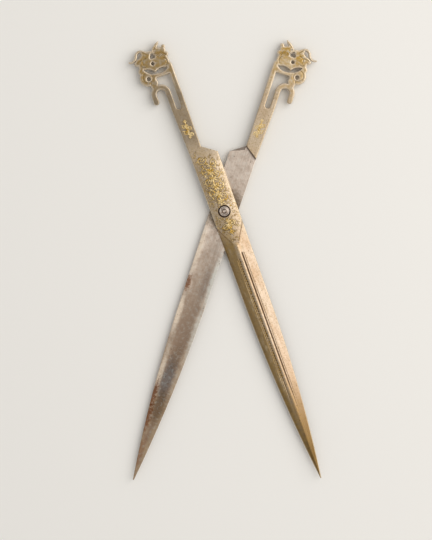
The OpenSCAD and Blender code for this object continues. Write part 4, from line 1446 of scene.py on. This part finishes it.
def polished_steel(name, c):
    """Steel polished on the lathe and then handled: bright, with fine rings and a little tarnish.

    The rings are 0.7 mm apart here, because real lathe marks don't show.
    """
    material, tree, shader = new_material(name)
    place = add(tree, "ShaderNodeTexCoord", out=3)
    rings = add(tree, "ShaderNodeTexWave", {
        "Vector": place, "Scale": 0.1 / (0.22 * MM), "Distortion": 1.5, "Detail": 2.0,
    }, wave_type="RINGS", rings_direction="Z")
    tarnish = add(tree, "ShaderNodeTexNoise", {"Vector": place, "Scale": 1 / (1.2 * MM), "Detail": 4.0})
    dull = add(tree, "ShaderNodeMapRange", {
        "Value": tarnish, "From Min": 0.45, "From Max": 0.7, "To Max": 0.8,
    })
    paint = add(tree, "ShaderNodeMix", {0: dull, 6: c.rivet, 7: c.smoke_and_shade}, out=2, data_type="RGBA")
    # Dirt sits in the lathe marks halfway up the dome.
    flat = add(tree, "ShaderNodeVectorMath", {0: place, 1: (1, 1, 0)}, operation="MULTIPLY")
    radius = add(tree, "ShaderNodeVectorMath", {0: flat}, out=1, operation="LENGTH")
    off_ring = add(tree, "ShaderNodeMath", {0: radius, 1: 1.1 * MM}, operation="SUBTRACT")
    off_ring = add(tree, "ShaderNodeMath", {0: off_ring}, operation="ABSOLUTE")
    hollow = add(tree, "ShaderNodeMapRange", {
        "Value": off_ring, "From Min": 0.55 * MM, "From Max": 0.2 * MM, "To Max": 0.75,
    })
    paint = add(tree, "ShaderNodeMix", {0: hollow, 6: paint, 7: c.dirt}, out=2, data_type="RGBA")
    tree.links.new(paint, shader.inputs["Base Color"])
    shader.inputs["Metallic"].default_value = 1.0
    rough = add(tree, "ShaderNodeMapRange", {"Value": rings, "To Min": 0.22, "To Max": 0.36})
    tree.links.new(rough, shader.inputs["Roughness"])
    bump = add(tree, "ShaderNodeBump", {"Height": rings, "Strength": 0.3, "Distance": 0.02 * MM})
    tree.links.new(bump, shader.inputs["Normal"])
    return material


def blackened_steel(name, c):
    """Steel blackened in the fire, a reddish brown oxide that is worn on its edge."""
    material, tree, shader = new_material(name)
    place = add(tree, "ShaderNodeTexCoord", out=3)
    crust = add(tree, "ShaderNodeTexNoise", {"Vector": place, "Scale": 1 / (0.5 * MM), "Detail": 4.0})
    worn = add(tree, "ShaderNodeMapRange", {
        "Value": crust, "From Min": 0.55, "From Max": 0.8, "To Max": 0.6,
    })
    paint = add(tree, "ShaderNodeMix", {0: worn, 6: c.oxide, 7: c.rust}, out=2, data_type="RGBA")
    tree.links.new(paint, shader.inputs["Base Color"])
    shader.inputs["Metallic"].default_value = 0.6
    rough = add(tree, "ShaderNodeMapRange", {"Value": crust, "To Min": 0.45, "To Max": 0.75})
    tree.links.new(rough, shader.inputs["Roughness"])
    bump = add(tree, "ShaderNodeBump", {"Height": crust, "Strength": 0.5, "Distance": 0.04 * MM})
    tree.links.new(bump, shader.inputs["Normal"])
    return material


def paper(name, tint):
    """Matt studio paper, with a faint tooth that is drawn coarse enough to show."""
    material, tree, shader = new_material(name)
    place = add(tree, "ShaderNodeTexCoord", out=3)
    tooth = add(tree, "ShaderNodeTexNoise", {"Vector": place, "Scale": 1 / (1.5 * MM), "Detail": 2.0})
    shader.inputs["Base Color"].default_value = (*tint, 1)
    shader.inputs["Roughness"].default_value = 0.95
    bump = add(tree, "ShaderNodeBump", {"Height": tooth, "Strength": 0.1, "Distance": 0.05 * MM})
    tree.links.new(bump, shader.inputs["Normal"])
    return material


# Operators, one for each piece or group of like pieces

# Patches on an inner face: colour, place, half width, half length, strength and how torn the edge is.
FRONT_PATCHES = [
    ("rust", 7.0, -80, 1.1, 6, 0.7, 2.6), ("slate", 1, -60, 4, 12, 0.5, 1.0),
    # Round the pivot, old oil and painted shade where the halves overlap.
    ("grease_and_shade", 0, 0, 12, 14, 0.85, 0.9),
]
REAR_PATCHES = [
    ("slate", 1.0, -101, 4.2, 13, 0.8, 1.2), ("slate", -2.5, -42, 2.6, 12, 0.3, 1.0),
    ("soil_and_shade", 0.6, -118, 4.6, 11, 0.6, 1.3), ("soil_and_shade", 0, -88, 3.4, 10, 0.3, 1.0),
    # These pale bluish patches along the cutting edge are painted sheen.
    ("frost_and_sheen", -6.8, -40, 2.4, 18, 0.55, 1.2), ("frost_and_sheen", -5.8, -72, 1.8, 16, 0.4, 1.2),
    # These pale patches along the spine are painted highlights, on steel that is also rubbed bright.
    ("clean", 7.2, -24, 2.0, 16, 0.8, 0.8), ("clean", 6.8, -63, 1.7, 11, 0.95, 0.8),
    ("clean", 5.6, -100, 1.5, 15, 0.75, 0.9),
    ("rust", 7.0, -45, 1.6, 5, 0.9, 2.6), ("rust", 5.6, -112, 1.7, 9, 0.9, 2.6),
    ("rust", 4.6, -126, 1.9, 9, 0.9, 2.6), ("rust", 2.6, -146, 2.2, 12, 0.5, 1.6),
    # These two darker patches round the pivot are painted shade where the front half lies over this one, with
    # old oil.
    ("smoke_and_shade", 0, 4, 13, 15, 0.5, 0.8), ("grease_and_shade", 0, 1, 10, 12, 0.95, 0.9),
]


class SCISSORS_OT_halves(bpy.types.Operator):
    """Build both steel halves: handle, bolster and blade in one forging each"""

    bl_idname = "scissors.halves"
    bl_label = "Steel halves"

    def execute(self, context):
        scene = context.scene
        s, c = half_sizes(scene), finish_colours(scene)
        plan = HalfPlan(s)
        outer = shared("worn_gilt_steel", worn_gilt_steel, c)
        for body, patches in zip(BODIES, (FRONT_PATCHES, REAR_PATCHES)):
            inner = shared(f"ground_steel_{body}", ground_steel, c, patches)
            mesh = half_mesh(s, plan, body, (outer, inner))
            add_piece(context, f"{body}_half_steel", mesh, body, f"{body}_half")
        return {"FINISHED"}


def gold_ground(s):
    """A flat mesh of the bolster's face that takes the fine strokes, clear of its edges and of the rivet."""
    y = np.linspace(-s.point_y + 4, s.bolster.shoulder - 2, 40)
    left, right = raised_sides(s, y)
    # The fine strokes end 1 mm inside the bolster's slope and 1.1 mm inside the half's own edges.
    left = np.maximum(left + 1, 1.1 - s.blade.edge)
    right = np.minimum(right - 1, s.blade.spine - 1.1)
    top = [(-1.5, s.neck_y - 2.4), (-6.6, s.neck_y - 2.4)]
    outline = [*zip(right, y), *top, *zip(left[::-1], y[::-1])]
    seat = circle((0, 0), COLLAR_DIAMETER / 2 + 0.7)
    edges = ring_edges(0, len(outline)) + ring_edges(len(outline), len(seat))
    corners, triangles = triangulated([*outline, *seat], edges)
    middle = corners[triangles].mean(axis=1)
    kept = triangles[inside(outline, middle) & ~inside(seat, middle)]
    mesh = bpy.data.meshes.new("gold_ground")
    mesh.from_pydata([(x, y, 0) for x, y in corners], [], kept.tolist())
    return mesh


def on_outer_face(s, points):
    """Points of flat gold laid on the outer face, rubbed level with what the scissors lie on."""
    x, y, z = points.T
    under = outer_face(s, x, y)[0] + hammered(x, y)
    return np.column_stack([x, y, np.minimum(under + z, PIVOT_Z)])


def combined(name, parts, body):
    """One mesh of several flat ones in the row frame, each placed by its own function."""
    made = bmesh.new()
    for mesh, place in parts:
        copy = mesh.copy()
        points = to_row_frame(place(mesh_points(mesh)), body)
        copy.vertices.foreach_set("co", points.astype(np.float32).ravel())
        made.from_mesh(copy)
        bpy.data.meshes.remove(copy)
    bmesh.ops.recalc_face_normals(made, faces=made.faces)
    whole = bpy.data.meshes.new(name)
    made.to_mesh(whole)
    made.free()
    for material in parts[0][0].materials:
        whole.materials.append(material)
    smooth(whole, 50)
    return whole


def soil_beside(body, laid_piece, share=1.0):
    """Marks the steel of a half close beside what is laid on it, where dirt stays when the face is wiped."""
    half = bpy.data.objects.get(f"{body}_half_steel")
    if half is None:
        raise RuntimeError("The steel halves come before what is laid on them.")
    strokes = Nearest(mesh_points(laid_piece)[:, :2] / MM)
    mesh = half.data
    places = mesh_points(mesh) / MM
    near, _ = strokes.find(places[:, :2])
    count = len(places) // 2
    marks = np.zeros(len(places), np.float32)
    laid = mesh.attributes["laid"].data
    laid.foreach_get("value", marks)
    marks[:count] = np.maximum(marks[:count], share * (1 - ease(near[:count], 0.12, 0.5)))
    laid.foreach_set("value", marks)


class SCISSORS_OT_bolster_gold(bpy.types.Operator):
    """Lay scrolls, flowers and fine strokes of gold on both bolsters"""

    bl_idname = "scissors.bolster_gold"
    bl_label = "Gold on the bolsters"

    def execute(self, context):
        scene = context.scene
        s, g, c = half_sizes(scene), in_mm(scene.scissors_gold), finish_colours(scene)
        gold = shared("laid_gold", laid_gold, c)
        tree, strokes = spray_tree(), dust_tree()
        common = {
            "Wire": g.wire, "Thickness": g.thick, "Leaf length": g.leaf_l, "Leaf width": g.leaf_w,
            "Leaf step": g.leaf_step, "Flower radius": g.flower,
        }
        upper = grown(context, "upper_spray", tree, {
            **common, "Rows": 4, "Step": g.step, "Scroll radius": g.scroll,
            "Start": COLLAR_DIAMETER / 2 + 2.2,
        }, gold)
        lower = grown(context, "lower_spray", tree, {
            **common, "Rows": 1, "Step": 3.2, "Scroll radius": g.scroll * 0.72, "Flowers": 3,
            "Flower step": 3.4, "Flower radius": g.flower * 0.75, "Start": COLLAR_DIAMETER / 2 + 2, "Seed": 5,
        }, gold)
        fine = grown(context, "fine_strokes", strokes, {
            "Distance": g.dust, "Thickness": g.thick * 0.8, "Wire": g.wire * 0.7, "Curl": 0.9,
            "Leaf length": g.leaf_l * 0.65, "Leaf width": g.leaf_w * 0.55,
        }, gold, gold_ground(s))

        def upright(points):
            return on_outer_face(s, points)

        def turned_down(points):
            return on_outer_face(s, points * (1, -1, 1))

        for body in BODIES:
            parts = [(upper, upright), (lower, turned_down), (fine, upright)]
            mesh = combined(f"{body}_bolster_scrolls", parts, body)
            add_piece(context, mesh.name, mesh, body, f"{body}_bolster_gold")
            soil_beside(body, mesh, 0.85)
        return {"FINISHED"}


class SCISSORS_OT_handle_gold(bpy.types.Operator):
    """Lay a small sprig of gold on both faces of both handles"""

    bl_idname = "scissors.handle_gold"
    bl_label = "Gold on the handles"

    def execute(self, context):
        scene = context.scene
        s, g, c = half_sizes(scene), in_mm(scene.scissors_gold), finish_colours(scene)
        gold = shared("laid_gold", laid_gold, c)
        middle_x = -(s.handle.neck_w + s.handle.slot_neck_w) / 4
        sprig = grown(context, "sprig", spray_tree(), {
            "Rows": 2, "Step": 3.6, "Scroll radius": g.scroll * 0.5, "Wire": g.wire * 0.85,
            "Thickness": g.thick, "Leaf length": g.leaf_l * 0.75, "Leaf width": g.leaf_w * 0.85,
            "Leaf step": g.leaf_step * 0.6,
            "Flowers": 4, "Flower step": 3.1, "Flower radius": g.flower * 0.62, "Start": 46.5, "Seed": 8,
        }, gold)

        def laid(points, side):
            x, y, z = points.T
            return np.column_stack([x + middle_x, y, side * (crown_line(s, y) + z)])

        for body in BODIES:
            parts = [(sprig, lambda p: laid(p, 1)), (sprig, lambda p: laid(p, -1))]
            mesh = combined(f"{body}_handle_sprigs", parts, body)
            add_piece(context, mesh.name, mesh, body, f"{body}_handle_gold")
            soil_beside(body, mesh, 0.5)
        return {"FINISHED"}


class SCISSORS_OT_rope(bpy.types.Operator):
    """Strike a rope moulding along the left groove of both blades"""

    bl_idname = "scissors.rope"
    bl_label = "Rope mouldings"

    def execute(self, context):
        scene = context.scene
        s, g, c = half_sizes(scene), in_mm(scene.scissors_gold), finish_colours(scene)
        steel = shared("worn_gilt_steel", worn_gilt_steel, c)
        start, long = s.rib_y + 8, s.bolster.rib_l * 0.72
        beads = grown(context, "rope", rope_tree(), {"Length": long, "Pitch": g.rope_pitch}, steel)

        def in_groove(points):
            x, y, z = points.T
            y = y - start
            x = x + ridge_x(s, y) - rib_half(s, y) - GROOVE_OFF
            return np.column_stack([x, y, outer_face(s, x, y)[0] + z])

        for body in BODIES:
            mesh = combined(f"{body}_rope_moulding", [(beads, in_groove)], body)
            own = in_groove(mesh_points(beads))
            set_attribute(mesh, "own", own)
            # The beads keep their gilding, and their edges are neither rubbed pale nor given the painted
            # highlight and painted shade of the half's edges.
            for name, value in (("rim", 3.0), ("cut", 0.0), ("gilt", 1.2)):
                set_attribute(mesh, name, np.full(len(own), value))
            add_piece(context, mesh.name, mesh, body)
            soil_beside(body, mesh, 0.6)
        return {"FINISHED"}


# Profile of the rivet's rim, as distance inside the head's edge and height over the collar.
RIVET_RIM = [
    (0.05, 0), (0, 0.05), (0, 0.3), (0.04, 0.4), (0.13, 0.5), (0.28, 0.57), (0.42, 0.58), (0.54, 0.54),
    (0.62, 0.47),
]


class SCISSORS_OT_rivet(bpy.types.Operator):
    """Turn the rivet, with its domed head, and hammer its tail flat"""

    bl_idname = "scissors.rivet"
    bl_label = "Rivet"

    def execute(self, context):
        c = finish_colours(context.scene)
        r, base, dome_r, dome_h = HEAD_DIAMETER / 2, COLLAR_TOP, HEAD_DIAMETER / 2 - 0.62, 0.62
        tail = [(0, -PIVOT_Z), (r - 0.25, -PIVOT_Z), (r - 0.07, -PIVOT_Z + 0.06), (r, -PIVOT_Z + 0.2)]
        tail += [(r, -base - 0.05), (r - 0.05, -base), (SHANK_R, -base), (SHANK_R, base)]
        # The head has a rounded rim, then a groove and the dome.
        rim = [(r - inward, base + up) for inward, up in RIVET_RIM]
        dome = [
            (t, HEAD_TOP - 0.02 - dome_h * (t / dome_r) ** 2.2) for t in np.arange(r - 0.66, 0.05, -0.06)
        ]
        top = [(0, dome[-1][1] - 0.12)]

        def lathe_mark(radius, z, angle):
            if z < base + 0.3 or radius > r - 0.65:
                return 0
            spiral = 0.55 + 0.42 * (angle / (2 * math.pi))
            marks = sum(math.exp(-(((radius - spiral - n * 0.42) / 0.1) ** 2)) for n in range(4))
            dimple = math.exp(-((radius / 0.42) ** 2))
            return -0.09 * marks - 0.14 * dimple

        points, faces = turned([*tail, *rim, *dome, *top], ROUND, lathe_mark)
        mesh = bpy.data.meshes.new("domed_rivet")
        mesh.from_pydata(((np.array(points) + (0, 0, PIVOT_Z)) * MM).tolist(), [], faces)
        mesh.materials.append(shared("polished_steel", polished_steel, c))
        outward(mesh, NEAR * MM)
        smooth(mesh, 45)
        add_piece(context, mesh.name, mesh, "rear", "pivot_rivet")
        return {"FINISHED"}


class SCISSORS_OT_collars(bpy.types.Operator):
    """Turn the two dark collars under the rivet's head and tail"""

    bl_idname = "scissors.collars"
    bl_label = "Collars"

    def execute(self, context):
        c = finish_colours(context.scene)
        inner, outer, low, high = COLLAR_HOLE_R, COLLAR_DIAMETER / 2, COLLAR_BOTTOM, COLLAR_TOP
        profile = [(inner, low), (outer - 0.06, low), (outer, low + 0.06), (outer, high - 0.16)]
        profile += [(outer - 0.05, high - 0.05), (outer - 0.16, high), (inner, high)]
        count = len(profile)
        points = [
            (r * math.cos(2 * math.pi * i / ROUND), r * math.sin(2 * math.pi * i / ROUND), z)
            for i in range(ROUND) for r, z in profile
        ]
        faces = [
            (i * count + n, i * count + (n + 1) % count,
             (i + 1) % ROUND * count + (n + 1) % count, (i + 1) % ROUND * count + n)
            for i in range(ROUND) for n in range(count)
        ]
        for body in BODIES:
            mesh = bpy.data.meshes.new(f"{body}_collar_ring")
            mesh.from_pydata(to_row_frame(points, body).tolist(), [], faces)
            mesh.materials.append(shared("blackened_steel", blackened_steel, c))
            outward(mesh, NEAR * MM)
            smooth(mesh, 40)
            add_piece(context, mesh.name, mesh, body, f"{body}_collar")
        return {"FINISHED"}


class SCISSORS_OT_stage(bpy.types.Operator):
    """Set the paper floor, the soft light and the camera"""

    bl_idname = "scissors.stage"
    bl_label = "Stage"

    def execute(self, context):
        scene = context.scene
        settings = scene.scissors_studio
        scene.view_settings.view_transform = "Standard"
        add_floor(context, settings)
        add_room(scene, settings)
        add_key_light(context, settings)
        add_camera(context, settings)
        return {"FINISHED"}


def add_floor(context, settings):
    """A wide sheet of paper just under the scissors."""
    half_width, gap = 6, 0.02 * MM
    made = bmesh.new()
    bmesh.ops.create_grid(made, x_segments=1, y_segments=1, size=half_width)
    bmesh.ops.translate(made, verts=made.verts, vec=(0, 0, -gap))
    mesh = bpy.data.meshes.new("paper_floor")
    made.to_mesh(mesh)
    made.free()
    mesh.materials.append(paper("studio_paper", settings.floor))
    floor = bpy.data.objects.new("paper_floor", mesh)
    context.scene.collection.objects.link(floor)


def add_room(scene, settings):
    """A pale room: bright near the floor and dimmer overhead."""
    world = bpy.data.worlds.new("studio_room")
    world.use_nodes = True
    tree = world.node_tree
    tree.nodes.clear()
    direction = add(tree, "ShaderNodeTexCoord", out=0)
    axes = add(tree, "ShaderNodeSeparateXYZ", {0: direction}).node
    glow = add(tree, "ShaderNodeMapRange", {
        "Value": axes.outputs[2], "From Min": 0.05, "From Max": 0.6,
        "To Min": settings.wall, "To Max": settings.ceiling,
    }, interpolation_type="SMOOTHSTEP")
    background = add(tree, "ShaderNodeBackground", {"Color": (1, 0.99, 0.97, 1), "Strength": glow})
    add(tree, "ShaderNodeOutputWorld", {"Surface": background})
    scene.world = world


def add_key_light(context, settings):
    """One large soft light, high on the right."""
    light = bpy.data.lights.new("softbox", "AREA")
    light.shape, light.size, light.size_y = "RECTANGLE", 1.5, 1.6
    light.energy = settings.key_power
    light.color = (1, 0.97, 0.93)
    lamp = bpy.data.objects.new("softbox", light)
    context.scene.collection.objects.link(lamp)
    place = Vector((0.9, 0.3, 1.05))
    lamp.location = place
    lamp.rotation_euler = place.to_track_quat("Z", "Y").to_euler()


def add_camera(context, settings):
    """A long lens straight over the scissors, framed by where the pivot stands in the picture."""
    data = bpy.data.cameras.new("camera")
    data.sensor_width = 36
    data.lens = data.sensor_width * settings.distance / settings.view_height
    data.clip_end = 20
    camera = bpy.data.objects.new("camera", data)
    context.scene.collection.objects.link(camera)
    turn = Matrix.Rotation(settings.roll, 3, "Z")
    middle = turn @ Vector((-settings.pivot_right, -settings.pivot_up, 0))
    camera.location = middle + Vector((0, 0, PIVOT_Z * MM + settings.distance))
    camera.rotation_euler = (0, 0, settings.roll)
    context.scene.camera = camera


STEPS = (
    SCISSORS_OT_halves, SCISSORS_OT_rope, SCISSORS_OT_bolster_gold, SCISSORS_OT_handle_gold,
    SCISSORS_OT_rivet, SCISSORS_OT_collars, SCISSORS_OT_stage,
)
GROUPS = {
    "scissors_blade": BladeSizes, "scissors_bolster": BolsterSizes, "scissors_handle": HandleSizes,
    "scissors_gold": GoldSizes, "scissors_finish": FinishColours, "scissors_studio": StudioSettings,
}


class SCISSORS_PT_pieces(bpy.types.Panel):
    """The pieces of the scissors, their sizes and their colours"""

    bl_idname = "SCISSORS_PT_pieces"
    bl_label = "Scissors"
    bl_space_type = "VIEW_3D"
    bl_region_type = "UI"
    bl_category = "Scissors"

    def draw(self, context):
        for step in STEPS:
            self.layout.operator(step.bl_idname)
        for name in GROUPS:
            group = getattr(context.scene, name)
            box = self.layout.box()
            for item in group.bl_rna.properties:
                if item.identifier not in {"rna_type", "name"}:
                    box.prop(group, item.identifier)


CLASSES = (*GROUPS.values(), *STEPS, SCISSORS_PT_pieces)


def register():
    """Registers the classes and gives the scene its settings."""
    for cls in CLASSES:
        bpy.utils.register_class(cls)
    for name, group in GROUPS.items():
        setattr(bpy.types.Scene, name, PointerProperty(type=group))


def unregister():
    """Takes the settings and the classes away again."""
    for name in GROUPS:
        delattr(bpy.types.Scene, name)
    for cls in reversed(CLASSES):
        bpy.utils.unregister_class(cls)


def main():
    """Builds every piece and the stage."""
    register()
    bpy.ops.scissors.halves()
    bpy.ops.scissors.rope()
    bpy.ops.scissors.bolster_gold()
    bpy.ops.scissors.handle_gold()
    bpy.ops.scissors.rivet()
    bpy.ops.scissors.collars()
    bpy.ops.scissors.stage()


if __name__ == "__main__":
    main()
